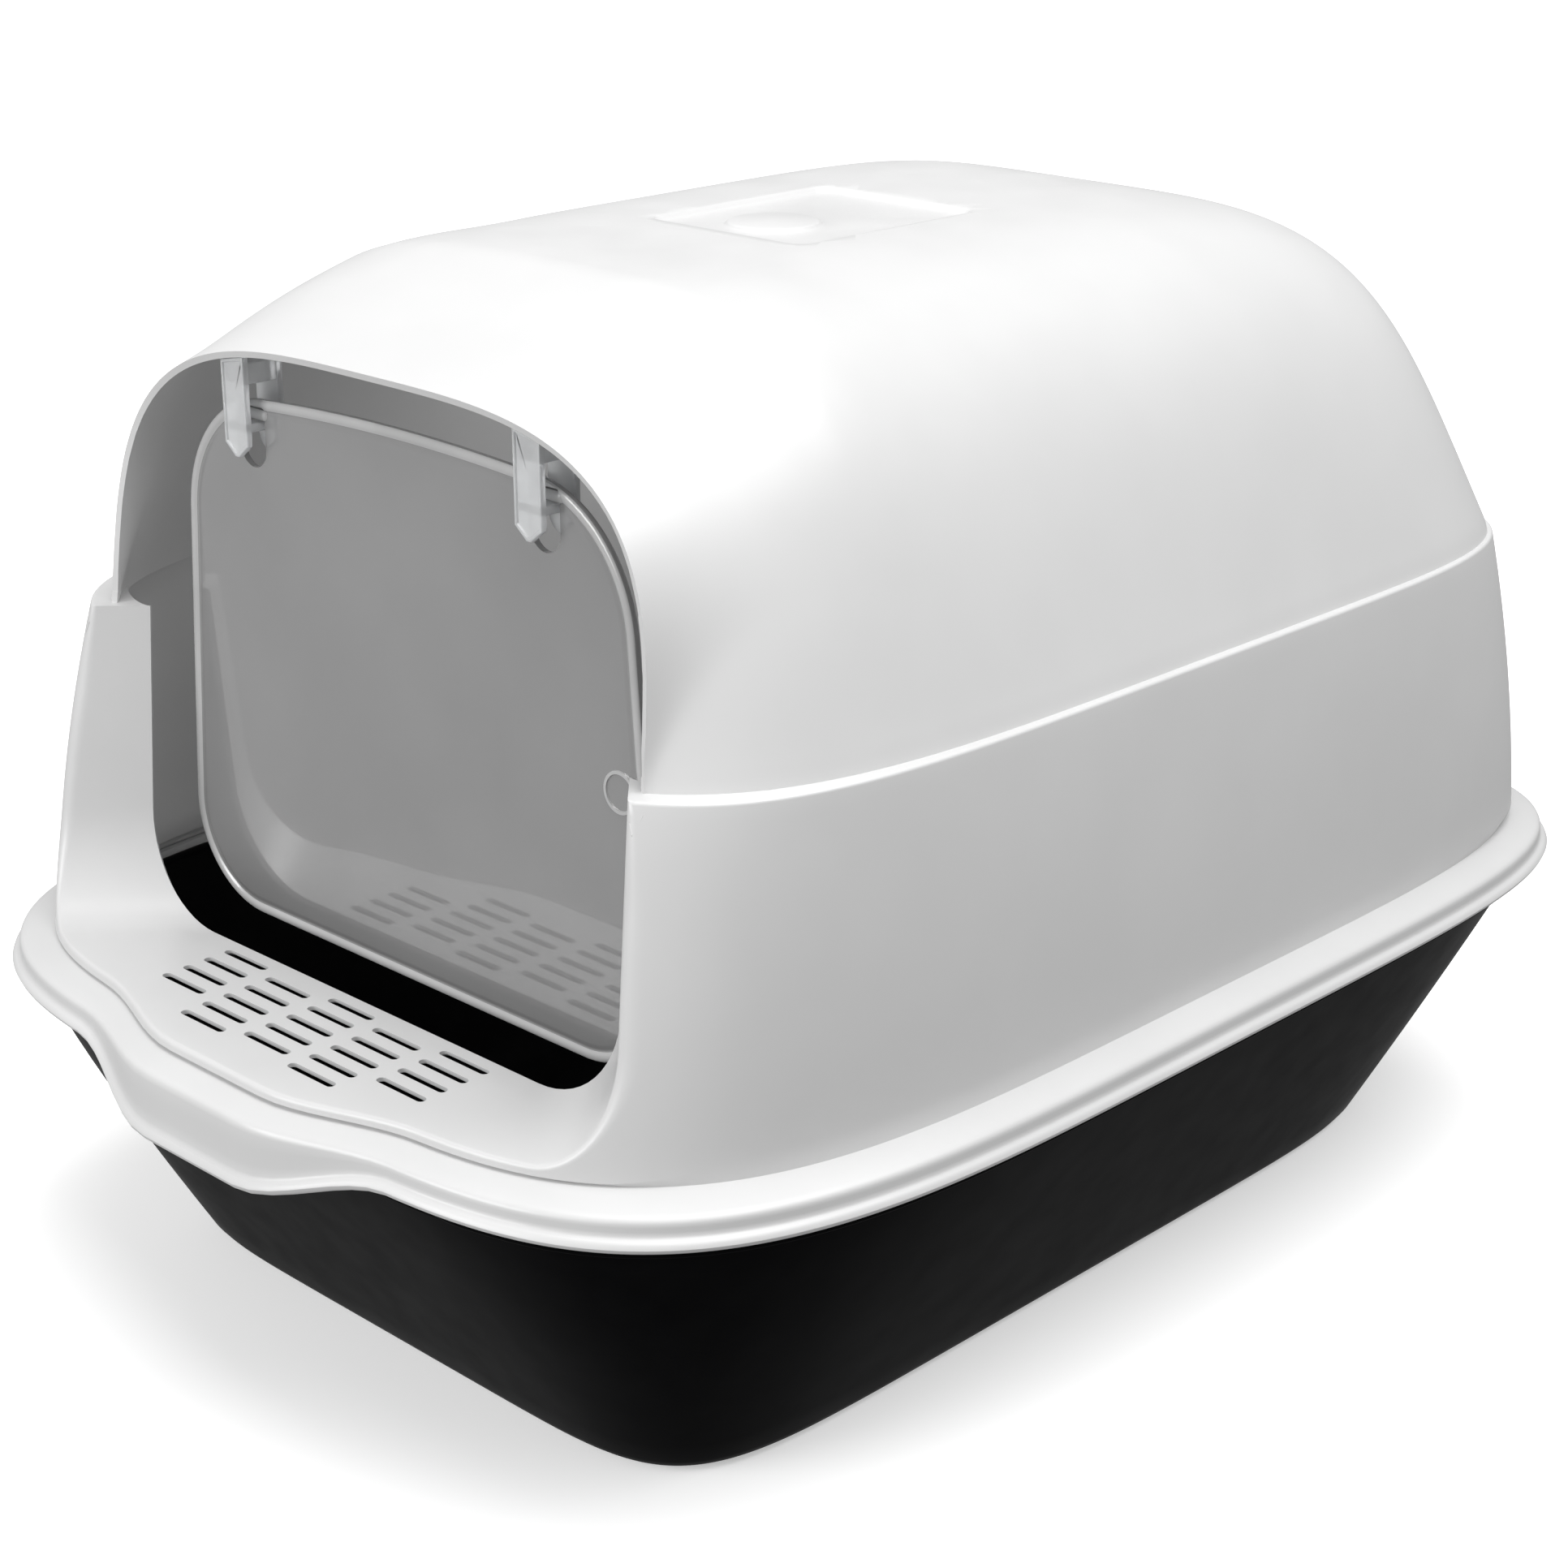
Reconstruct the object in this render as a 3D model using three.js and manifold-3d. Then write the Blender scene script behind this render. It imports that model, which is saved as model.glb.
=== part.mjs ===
// Cat litter box with a hood: a black tray, a white hood that lifts off, a clear swing
// door hung in two forked hangers, and a carbon filter in a drop-out holder.
// Millimetres, +Z up, +X to the right, the entrance faces -Y.
// The origin is on the floor under the middle of the whole box.

import * as THREE from 'three';
import { mergeVertices } from 'three/addons/utils/BufferGeometryUtils.js';
import Module from 'manifold-3d';

const wasm = await Module();
wasm.setup();

// ---------------------------------------------------------------- driving dimensions

const WALL = 3;
const GAP = 0.3;
const STATIONS = 60;

// Outlines seen from above: half width, front and rear reach, the y where the two
// halves meet, and how square the front and rear corners are.
const RIM = { half: 215.5, front: -277, rear: 291, mid: -7, frontPower: 4.1, rearPower: 5.5 };
const WALL_FOOT = { half: 199.5, front: -263.5, rear: 275, mid: 7, frontPower: 4.2, rearPower: 6 };
const RIDGE = { half: 189, front: -232, rear: 259, mid: 13, frontPower: 5, rearPower: 5.6 };
const TRAY_FLOOR = { half: 148.5, front: -204, rear: 224, mid: -1.5, frontPower: 7.5, rearPower: 7.5 };

const RIM_Z = 121.5;
const WALL_FOOT_Z = 139;
const RIDGE_Z = 257;
const ROOF_Z = 388.5;

// The finger lip in the middle of the front rim: it stands out and dips.
const LIP = { reach: 14, dip: 14, flatHalf: 25, endHalf: 87 };

// Upper shell: how far the sides, front and rear lean in and how late they curve over.
const DOME = {
  half: 186.3, front: -228, rear: 255.5, mid: 25.2,
  side: { lean: 0.272, power: 4.56 },
  nose: { lean: 0.099, power: 3.57 },
  tail: { lean: 0.186, power: 5.53 },
  frontPower: 4.65, rearPower: 5.87, topPower: 4.9,
};

// The collar round the door arch, which widens towards the rear into the dome.
const ARCH = { y: -210.8, lean: 6.44, half: 141.8, flare: 0.311, drop: 24.8, backY: -118 };
const ARCH_EDGE = { taper: 0.024, power: 3.48 };
const ARCH_BACK = { taper: 0.2, power: 4.2 };
const ARCH_SLOPE = Math.tan(THREE.MathUtils.degToRad(ARCH.lean));

// The entrance: a splayed recess over the shelf, and the opening at its back.
const SHELF = { z: 141, y: -211.8, slope: 0.02 };
const ENTRY = { half: 128, corner: 38, lean: 0.0716 };

const SLOT = { length: 24, width: 3.6, columns: 5, columnPitch: 30.3, rowPitch: 9.03, firstY: -219.1 };

const ROOF_PANEL = { half: 39, front: -34, rear: 60, depth: 2.2, bossRadius: 17.5, bossX: -3, bossY: -5 };

const DOOR = {
  y: -189, thickness: 2.4, bottomZ: 142.5, lowHalf: 126.5, highHalf: 116.5, lowZ: 173, highZ: 302,
  topZ: 341.4, crown: 2.4, bottomCorner: 37, topCorner: 50, beadWidth: 4, beadThickness: 3.5,
};
const PIN = { z: 335.5, radius: 2.2 };
const HANGER = { x: 76.5, width: 13, plate: 2.5, tipZ: 320.5, tip: 5, bridgeZ: 347, cradleZ: 330, snapGap: 2.2 };
const WINDOW = { half: 7.2, bottomZ: 316, topZ: 338.3 };

const HOLDER = { half: 45, front: -39, rear: 65, height: 11, wall: 2.2, barWidth: 3, bars: 5, tab: 14 };

// ---------------------------------------------------------------- helpers

function toSolid(geometry) {
  const bare = geometry.clone();
  bare.deleteAttribute('normal');
  bare.deleteAttribute('uv');
  const merged = mergeVertices(bare, 1e-4);
  return new wasm.Manifold(new wasm.Mesh({
    numProp: 3,
    vertProperties: new Float32Array(merged.attributes.position.array),
    triVerts: new Uint32Array(merged.index.array),
  }));
}

function toGeometry(solid) {
  const mesh = solid.getMesh();
  const geometry = new THREE.BufferGeometry();
  geometry.setAttribute('position', new THREE.BufferAttribute(new Float32Array(mesh.vertProperties), 3));
  geometry.setIndex(new THREE.BufferAttribute(new Uint32Array(mesh.triVerts), 1));
  geometry.computeVertexNormals();
  return geometry;
}

// A closed solid through a list of rings with equal counts, each end closed by a fan.
// The rings run anticlockwise seen from the end that the list leads to.
function loft(rings) {
  const count = rings[0].length;
  const positions = rings.flat(2);
  const index = [];
  for (let r = 0; r < rings.length - 1; r += 1) {
    for (let i = 0; i < count; i += 1) {
      const a = r * count + i;
      const b = r * count + (i + 1) % count;
      index.push(a, b, b + count, a, b + count, a + count);
    }
  }
  for (const [ring, isTop] of [[0, false], [rings.length - 1, true]]) {
    const middle = [0, 1, 2].map((k) => rings[ring].reduce((sum, p) => sum + p[k], 0) / count);
    const hub = positions.length / 3;
    positions.push(...middle);
    for (let i = 0; i < count; i += 1) {
      const a = ring * count + i;
      const b = ring * count + (i + 1) % count;
      index.push(hub, ...(isTop ? [a, b] : [b, a]));
    }
  }
  const geometry = new THREE.BufferGeometry();
  geometry.setAttribute('position', new THREE.Float32BufferAttribute(positions, 3));
  geometry.setIndex(index);
  return toSolid(geometry);
}

// Plates: a flat shape given thickness along one axis.
function extrude(shape, depth, basis, offset) {
  const geometry = new THREE.ExtrudeGeometry(shape, { depth, bevelEnabled: false, curveSegments: 8 });
  geometry.applyMatrix4(new THREE.Matrix4().makeBasis(...basis).setPosition(...offset));
  return toSolid(geometry);
}

const X = new THREE.Vector3(1, 0, 0);
const Y = new THREE.Vector3(0, 1, 0);
const Z = new THREE.Vector3(0, 0, 1);
const plateFlat = (shape, z0, z1) => extrude(shape, z1 - z0, [X, Y, Z], [0, 0, z0]);
const plateUpright = (shape, y0, y1) => extrude(shape, y1 - y0, [X, Z, Y.clone().negate()], [0, y1, 0]);
const plateSide = (shape, x0, x1) => extrude(shape, x1 - x0, [Y, Z, X], [x0, 0, 0]);

function polygon(points) {
  return new THREE.Shape(points.map(([a, b]) => new THREE.Vector2(a, b)));
}

function box(low, high) {
  const size = high.map((value, k) => value - low[k]);
  const geometry = new THREE.BoxGeometry(...size);
  geometry.translate(...low.map((value, k) => value + size[k] / 2));
  return toSolid(geometry);
}

function cylinderAlongX(radius, x0, x1, y, z, sides) {
  const geometry = new THREE.CylinderGeometry(radius, radius, x1 - x0, sides);
  geometry.rotateZ(Math.PI / 2);
  geometry.translate((x0 + x1) / 2, y, z);
  return toSolid(geometry);
}

function smoothstep(value, from, to) {
  const t = THREE.MathUtils.clamp((value - from) / (to - from), 0, 1);
  return t * t * (3 - 2 * t);
}

const signedPower = (value, power) => Math.sign(value) * Math.abs(value) ** power;

// ---------------------------------------------------------------- outlines

function outlinePoint(outline, angle) {
  const power = 2 / (Math.sin(angle) < 0 ? outline.frontPower : outline.rearPower);
  const across = signedPower(Math.cos(angle), power);
  const along = signedPower(Math.sin(angle), power);
  const reach = along < 0 ? outline.mid - outline.front : outline.rear - outline.mid;
  return [outline.half * across, outline.mid + reach * along];
}

function inset(outline, by) {
  return { ...outline, half: outline.half - by, front: outline.front + by, rear: outline.rear - by };
}

function mix(a, b, t) {
  const result = {};
  for (const key of Object.keys(a)) {
    result[key] = a[key] + (b[key] - a[key]) * t;
  }
  return result;
}

// 1 over the middle of the front lip, falling to 0 at its ends.
function lipShare(x, y) {
  return y < 0 ? 1 - smoothstep(Math.abs(x), LIP.flatHalf, LIP.endHalf) : 0;
}

// Angles round the outline, closest together where the lipped rim turns most.
function makeStations(count) {
  const fine = 4000;
  const points = [];
  for (let i = 0; i < fine; i += 1) {
    const angle = (2 * Math.PI * i) / fine;
    const [x, y] = outlinePoint(RIM, angle);
    points.push({ angle, x, y: y - LIP.reach * lipShare(x, y) });
  }
  const travel = [0];
  let heading = null;
  for (let i = 1; i <= fine; i += 1) {
    const a = points[i - 1];
    const b = points[i % fine];
    const next = Math.atan2(b.y - a.y, b.x - a.x);
    const turn = heading === null ? 0 : Math.abs(Math.atan2(Math.sin(next - heading), Math.cos(next - heading)));
    heading = next;
    travel.push(travel[i - 1] + Math.hypot(b.x - a.x, b.y - a.y) / 1850 + (0.8 * turn) / (2 * Math.PI));
  }
  const stations = [];
  let k = 0;
  for (let i = 0; i < count; i += 1) {
    const target = (travel[fine] * i) / count;
    while (travel[k + 1] < target) {
      k += 1;
    }
    const part = (target - travel[k]) / (travel[k + 1] - travel[k]);
    stations.push((2 * Math.PI * (k + part)) / fine);
  }
  return stations;
}

const stations = makeStations(STATIONS);

// One level ring. lipReach and lipDip say how much of the lip's shape it takes.
function ring(outline, z, lipReach = 0, lipDip = 0) {
  return stations.map((angle) => {
    const [x, y] = outlinePoint(outline, angle);
    const share = lipShare(x, y);
    return [x, y - LIP.reach * lipReach * share, z - LIP.dip * lipDip * share];
  });
}

// ---------------------------------------------------------------- hood

// The lower half of the hood, solid: rolled rim, sloping band and wall up to the ridge.
function lowerOuter() {
  const rings = [
    ring(inset(RIM, 1), RIM_Z, 1, 1),
    ring(RIM, RIM_Z + 2.3, 1, 1),
    ring(inset(RIM, 2.6), RIM_Z + 4.8, 1, 1),
    ring(inset(RIM, 3), RIM_Z + 9.5, 0.8, 0.15),
    ring(inset(RIM, 5), RIM_Z + 12, 0.8),
    ring(inset(RIM, 14), RIM_Z + 14.8, 0.9),
    ring(WALL_FOOT, WALL_FOOT_Z, 1),
  ];
  for (const share of [0.12, 0.5, 0.97]) {
    const z = WALL_FOOT_Z + (RIDGE_Z - 2 - WALL_FOOT_Z) * share;
    rings.push(ring(mix(WALL_FOOT, RIDGE, share), z, share < 0.2 ? 1 : 0));
  }
  rings.push(ring(RIDGE, RIDGE_Z - 2));
  rings.push(ring(inset(RIDGE, 1.2), RIDGE_Z));
  return loft(rings);
}

// The room inside the lower half, left WALL thick, with a narrow web under the ridge.
function lowerInner() {
  const web = 4;
  const rings = [
    ring(inset(RIM, 6), RIM_Z - 20, 1, 1),
    ring(inset(RIM, 6), RIM_Z + 8, 0.9, 0),
    ring(inset(RIM, 18), RIM_Z + 11.5, 0.9),
    ring(inset(WALL_FOOT, WALL), WALL_FOOT_Z, 1),
  ];
  for (const share of [0.12, 0.5, 0.97]) {
    const z = WALL_FOOT_Z + (RIDGE_Z - WALL - WALL_FOOT_Z) * share;
    rings.push(ring(inset(mix(WALL_FOOT, RIDGE, share), WALL), z, share < 0.2 ? 1 : 0));
  }
  rings.push(ring(inset(RIDGE, WALL), RIDGE_Z - WALL));
  rings.push(ring(inset(RIDGE, WALL + web), RIDGE_Z - WALL + 0.2));
  rings.push(ring(inset(RIDGE, WALL + web), RIDGE_Z + 0.5));
  return loft(rings);
}

const shrink = (rule, share) => (1 - rule.lean * share) * (1 - share ** rule.power) ** (1 / rule.power);

// The dome, grown or cut back by `by` all round, from baseZ up.
function dome(by, baseZ) {
  const roof = ROOF_Z - by;
  const rows = 8;
  const rings = [ring(inset(DOME, by), baseZ)];
  for (let i = 0; i <= rows; i += 1) {
    const share = Math.min(1 - (1 - i / rows) ** 2.3, 0.9999);
    const rise = RIDGE_Z + share * (roof - RIDGE_Z);
    const outline = {
      half: (DOME.half - by) * shrink(DOME.side, share),
      front: DOME.mid - (DOME.mid - DOME.front - by) * shrink(DOME.nose, share),
      rear: DOME.mid + (DOME.rear - by - DOME.mid) * shrink(DOME.tail, share),
      mid: DOME.mid,
      frontPower: DOME.frontPower + (DOME.topPower - DOME.frontPower) * share,
      rearPower: DOME.rearPower + (DOME.topPower - DOME.rearPower) * share,
    };
    if (rise > baseZ + 0.1) {
      rings.push(ring(outline, rise));
    }
  }
  return loft(rings);
}

// The collar as a row of arch sections from startY back to where the dome swallows it.
function collar(by, startY, baseZ) {
  const arcs = 22;
  const crestY = ARCH.y + (ROOF_Z - ARCH.drop - RIDGE_Z) * ARCH_SLOPE;
  const rows = [startY, ARCH.y, ARCH.y + 16, ARCH.y + 39, ARCH.backY];
  const rings = rows.map((footY) => {
    const t = Math.max((ARCH.backY - footY - (crestY - ARCH.y)) / (ARCH.backY - crestY), 0);
    const height = ROOF_Z - 1 - ARCH.drop * t - RIDGE_Z - by;
    const half = ARCH.half + ARCH.flare * (footY - ARCH.y) - by;
    const share = THREE.MathUtils.clamp((footY - ARCH.y) / (ARCH.backY - ARCH.y), 0, 1);
    const { taper, power } = mix(ARCH_EDGE, ARCH_BACK, share);
    const section = [];
    for (let i = 0; i <= arcs; i += 1) {
      const angle = (Math.PI * i) / arcs;
      const across = signedPower(Math.cos(angle), 2 / power);
      const up = Math.abs(Math.sin(angle)) ** (2 / power);
      const z = RIDGE_Z + height * up;
      section.push([half * across * (1 - taper * up), footY + (z - RIDGE_Z) * ARCH_SLOPE, z]);
    }
    section.push([-half, footY, baseZ]);
    section.push([half, footY, baseZ]);
    return section.reverse();
  });
  return loft(rings);
}

// Everything in front of the arch's leaning plane, above the ridge.
function frontOfArch() {
  const top = ROOF_Z + 40;
  const bottom = RIDGE_Z - 30;
  return plateSide(polygon([
    [-400, bottom],
    [ARCH.y + (bottom - RIDGE_Z) * ARCH_SLOPE, bottom],
    [ARCH.y + (top - RIDGE_Z) * ARCH_SLOPE, top],
    [-400, top],
  ]), -260, 260);
}

function upperOuter() {
  const baseZ = RIDGE_Z - 1.5;
  return dome(0, baseZ).add(collar(0, ARCH.y - 20, baseZ)).subtract(frontOfArch());
}

function upperInner(clearance = 0) {
  const baseZ = RIDGE_Z - 0.5;
  return dome(WALL + clearance, baseZ).add(collar(WALL + clearance, ARCH.y - 30, baseZ));
}

// The entrance recess: a U that widens one for one as it comes forward from the opening.
function entryRecess(grow, side, nearest, topZ) {
  const steps = 7;
  const farthest = 130;
  const radius = ENTRY.corner + grow;
  const rings = [];
  for (const out of [nearest, farthest]) {
    const centreX = ENTRY.half - ENTRY.corner + side - grow + out;
    const centreZ = SHELF.z + ENTRY.corner - SHELF.slope * Math.max(out, 0);
    const points = [];
    for (let i = 0; i <= steps; i += 1) {
      const angle = -Math.PI / 2 + ((Math.PI / 2) * i) / steps;
      points.push([centreX + radius * Math.cos(angle), centreZ + radius * Math.sin(angle)]);
    }
    points.push([centreX + radius, topZ]);
    const mirrored = points.map(([x, z]) => [-x, z]).reverse();
    rings.push([...points, ...mirrored].map(([x, z]) => [
      x, SHELF.y + (z - SHELF.z) * ENTRY.lean - out, z,
    ]));
  }
  return loft(rings);
}

// The straight passage from the recess through the opening into the cabin.
function entryPassage() {
  const centreX = ENTRY.half - ENTRY.corner;
  const shape = new THREE.Shape();
  shape.moveTo(-ENTRY.half, RIDGE_Z + 0.5);
  shape.lineTo(-ENTRY.half, SHELF.z + ENTRY.corner);
  shape.absarc(-centreX, SHELF.z + ENTRY.corner, ENTRY.corner, Math.PI, 1.5 * Math.PI, false);
  shape.absarc(centreX, SHELF.z + ENTRY.corner, ENTRY.corner, 1.5 * Math.PI, 2 * Math.PI, false);
  shape.lineTo(ENTRY.half, RIDGE_Z + 0.5);
  return plateUpright(shape, SHELF.y - 1, -150);
}

// Drain slots through the shelf: the outer columns hold four rows, the others five.
function shelfSlots() {
  const slots = [];
  const end = SLOT.length / 2 - SLOT.width / 2;
  for (let column = 0; column < SLOT.columns; column += 1) {
    const place = column - (SLOT.columns - 1) / 2;
    const rows = Math.abs(place) === 2 ? 4 : 5;
    const shift = Math.abs(place) === 1 ? 0.5 : 0;
    for (let row = 0; row < rows; row += 1) {
      const x = place * SLOT.columnPitch;
      const y = SLOT.firstY - (row + shift) * SLOT.rowPitch;
      const points = [];
      for (const [side, start] of [[1, -0.5], [-1, 0.5]]) {
        for (let i = 0; i <= 2; i += 1) {
          const angle = Math.PI * (start + i / 2);
          points.push([
            x + side * end + (SLOT.width / 2) * Math.cos(angle),
            y + (SLOT.width / 2) * Math.sin(angle),
          ]);
        }
      }
      slots.push(plateFlat(polygon(points), SHELF.z - 12, SHELF.z + 6));
    }
  }
  return slots;
}

const holderTopZ = ROOF_Z - WALL - 4;

// A thick pad under the roof, which takes the panel's depth and seats the filter holder.
function roofSeat() {
  return box(
    [-HOLDER.half, HOLDER.front, holderTopZ],
    [HOLDER.half, HOLDER.rear, ROOF_Z - WALL / 2 - 0.6],
  );
}

function roofPanel() {
  const { half, front, rear, depth, bossRadius, bossX, bossY } = ROOF_PANEL;
  const boss = new THREE.Shape();
  boss.absarc(bossX, bossY, bossRadius, 0, 2 * Math.PI, false);
  return box([-half, front, ROOF_Z - depth], [half, rear, ROOF_Z + 10])
    .subtract(plateFlat(boss, ROOF_Z - depth - 1, ROOF_Z - 0.6));
}

function makeHood() {
  const cabin = lowerInner()
    .subtract(entryRecess(WALL, WALL * Math.SQRT2, 0, RIDGE_Z + 2))
    .add(upperInner());
  let hood = lowerOuter()
    .add(upperOuter())
    .subtract(entryRecess(0, 0, -0.5, RIDGE_Z + 0.4))
    .subtract(entryPassage())
    .subtract(cabin);
  for (const slot of shelfSlots()) {
    hood = hood.subtract(slot);
  }
  return hood.add(roofSeat()).subtract(roofPanel());
}

// ---------------------------------------------------------------- tray

function makeTray() {
  const topZ = RIM_Z - GAP;
  const top = inset(RIM, 7.5);
  const flange = 3.5;
  const side = (z) => mix(TRAY_FLOOR, top, z / RIM_Z);
  // The flange under the hood's rim stops short of the lip.
  const flangeRing = (z) => stations.map((angle) => {
    const [x, y] = outlinePoint(top, angle);
    const share = y < 0 ? smoothstep(Math.abs(x), LIP.endHalf + 3, LIP.endHalf + 23) : 1;
    const [wideX, wideY] = outlinePoint(inset(top, -flange), angle);
    return [x + (wideX - x) * share, y + (wideY - y) * share, z];
  });
  const outer = loft([
    ring(inset(TRAY_FLOOR, 4), 0),
    ring(inset(TRAY_FLOOR, 1.2), 1.4),
    ring(side(6), 6),
    ring(side(topZ - 4.5), topZ - 4.5),
    flangeRing(topZ - 2.8),
    flangeRing(topZ),
  ]);
  const inner = loft([
    ring(inset(TRAY_FLOOR, 9), WALL),
    ring(inset(side(4.5), 4.4), 4.5),
    ring(inset(side(10), WALL), 10),
    ring(inset(side(topZ + 2), WALL), topZ + 2),
  ]);
  return outer.subtract(inner);
}

// ---------------------------------------------------------------- door and hangers

const doorHalf = (z) => DOOR.lowHalf
  + ((DOOR.highHalf - DOOR.lowHalf) * (z - DOOR.lowZ)) / (DOOR.highZ - DOOR.lowZ);

// The door's outline, cut back by `by`: near-upright sides and a slightly crowned top.
function doorShape(by) {
  const bottom = DOOR.bottomZ + by;
  const top = DOOR.topZ - by;
  const low = DOOR.bottomCorner - by;
  const high = DOOR.topCorner - by;
  const lowZ = bottom + low;
  const highZ = top - high;
  const lowX = doorHalf(lowZ) - by - low;
  const highX = doorHalf(highZ) - by - high;
  const tilt = Math.atan((DOOR.lowHalf - DOOR.highHalf) / (DOOR.highZ - DOOR.lowZ));
  const shape = new THREE.Shape();
  shape.moveTo(-lowX, bottom);
  shape.absarc(lowX, lowZ, low, -Math.PI / 2, tilt, false);
  shape.absarc(highX, highZ, high, tilt, Math.PI / 2, false);
  shape.quadraticCurveTo(0, top + 2 * DOOR.crown, -highX, top);
  shape.absarc(-highX, highZ, high, Math.PI / 2, Math.PI - tilt, false);
  shape.absarc(-lowX, lowZ, low, Math.PI - tilt, 1.5 * Math.PI, false);
  return shape;
}

function makeDoor() {
  const plate = plateUpright(doorShape(1), DOOR.y - DOOR.thickness / 2, DOOR.y + DOOR.thickness / 2);
  const bead = plateUpright(doorShape(0), DOOR.y - DOOR.beadThickness / 2, DOOR.y + DOOR.beadThickness / 2)
    .subtract(plateUpright(doorShape(DOOR.beadWidth), DOOR.y - 10, DOOR.y + 10));
  let door = plate.add(bead);
  for (const x of [-HANGER.x, HANGER.x]) {
    const window = box(
      [x - WINDOW.half, DOOR.y - 10, WINDOW.bottomZ],
      [x + WINDOW.half, DOOR.y + 10, WINDOW.topZ],
    );
    const pin = cylinderAlongX(PIN.radius, x - WINDOW.half - 2, x + WINDOW.half + 2, DOOR.y, PIN.z, 12);
    door = door.subtract(window).add(pin);
  }
  return door;
}

// A fork under the roof: pointed front leg, round rear leg, and a cradle for the pin.
function makeHanger(x) {
  const half = HANGER.width / 2;
  const innerGap = 6;
  const frontY = DOOR.y - innerGap;
  const rearY = DOOR.y + innerGap;
  const topZ = ROOF_Z;
  const frontLeg = plateUpright(polygon([
    [x, HANGER.tipZ],
    [x + half, HANGER.tipZ + HANGER.tip],
    [x + half, topZ],
    [x - half, topZ],
    [x - half, HANGER.tipZ + HANGER.tip],
  ]), frontY - HANGER.plate, frontY);
  const rearShape = new THREE.Shape();
  rearShape.moveTo(x + half, topZ);
  rearShape.lineTo(x - half, topZ);
  rearShape.absarc(x, HANGER.tipZ + half, half, Math.PI, 2 * Math.PI, false);
  const rearLeg = plateUpright(rearShape, rearY, rearY + HANGER.plate);
  const bridge = box(
    [x - half, frontY - HANGER.plate / 2, HANGER.bridgeZ],
    [x + half, rearY + HANGER.plate / 2, topZ],
  );
  const cradle = box(
    [x - half, frontY - HANGER.plate / 2, HANGER.cradleZ],
    [x + half, rearY - HANGER.snapGap, PIN.z - PIN.radius - GAP],
  );
  return frontLeg.add(rearLeg).add(bridge).add(cradle).intersect(upperInner(GAP));
}

// ---------------------------------------------------------------- filter

const holder = { topZ: holderTopZ - GAP, bottomZ: holderTopZ - GAP - HOLDER.height };

// A shallow frame with a barred floor, and a finger tab at its front edge.
function makeFilterHolder() {
  const { half, front, rear, wall, barWidth, bars, tab } = HOLDER;
  let frame = box([-half, front, holder.bottomZ], [half, rear, holder.topZ]).subtract(
    box([-half + wall, front + wall, holder.bottomZ - 1], [half - wall, rear - wall, holder.topZ + 1]),
  );
  for (let i = 1; i <= bars; i += 1) {
    const x = -half + wall + ((2 * (half - wall)) * i) / (bars + 1);
    frame = frame.add(box(
      [x - barWidth / 2, front + wall / 2, holder.bottomZ],
      [x + barWidth / 2, rear - wall / 2, holder.bottomZ + 2],
    ));
  }
  return frame.add(box([-tab, front - 7, holder.bottomZ], [tab, front + wall / 2, holder.bottomZ + 2.4]));
}

function makeCarbonFilter() {
  const play = HOLDER.wall + 1;
  return box(
    [-HOLDER.half + play, HOLDER.front + play, holder.bottomZ + 2 + GAP],
    [HOLDER.half - play, HOLDER.rear - play, holder.topZ - 1],
  );
}

// ---------------------------------------------------------------- assembly

const materials = {
  white: new THREE.MeshStandardMaterial({ color: 0xf2f2f2, roughness: 0.35, metalness: 0 }),
  black: new THREE.MeshStandardMaterial({ color: 0x141414, roughness: 0.45, metalness: 0 }),
  smoke: new THREE.MeshStandardMaterial({ color: 0x9c9c9c, roughness: 0.15, metalness: 0 }),
  clear: new THREE.MeshStandardMaterial({ color: 0xe0e4e6, roughness: 0.2, metalness: 0 }),
  grille: new THREE.MeshStandardMaterial({ color: 0xe6e6e6, roughness: 0.5, metalness: 0 }),
  carbon: new THREE.MeshStandardMaterial({ color: 0x2a2a2a, roughness: 0.95, metalness: 0 }),
};

function named(name, solid, material) {
  const mesh = new THREE.Mesh(toGeometry(solid), material);
  mesh.name = name;
  return mesh;
}

const litterBox = new THREE.Group();
litterBox.add(named('tray', makeTray(), materials.black));
litterBox.add(named('hood', makeHood(), materials.white));
litterBox.add(named('door_flap', makeDoor(), materials.smoke));
litterBox.add(named('hanger_left', makeHanger(-HANGER.x), materials.clear));
litterBox.add(named('hanger_right', makeHanger(HANGER.x), materials.clear));
litterBox.add(named('filter_holder', makeFilterHolder(), materials.grille));
litterBox.add(named('carbon_filter', makeCarbonFilter(), materials.carbon));

export default litterBox;
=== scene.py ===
"""Hooded cat litter box: the looks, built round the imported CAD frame. Metres, +Z up, entrance at -Y."""

import math

import bmesh
import bpy
import numpy as np
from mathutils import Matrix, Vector, noise


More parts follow.
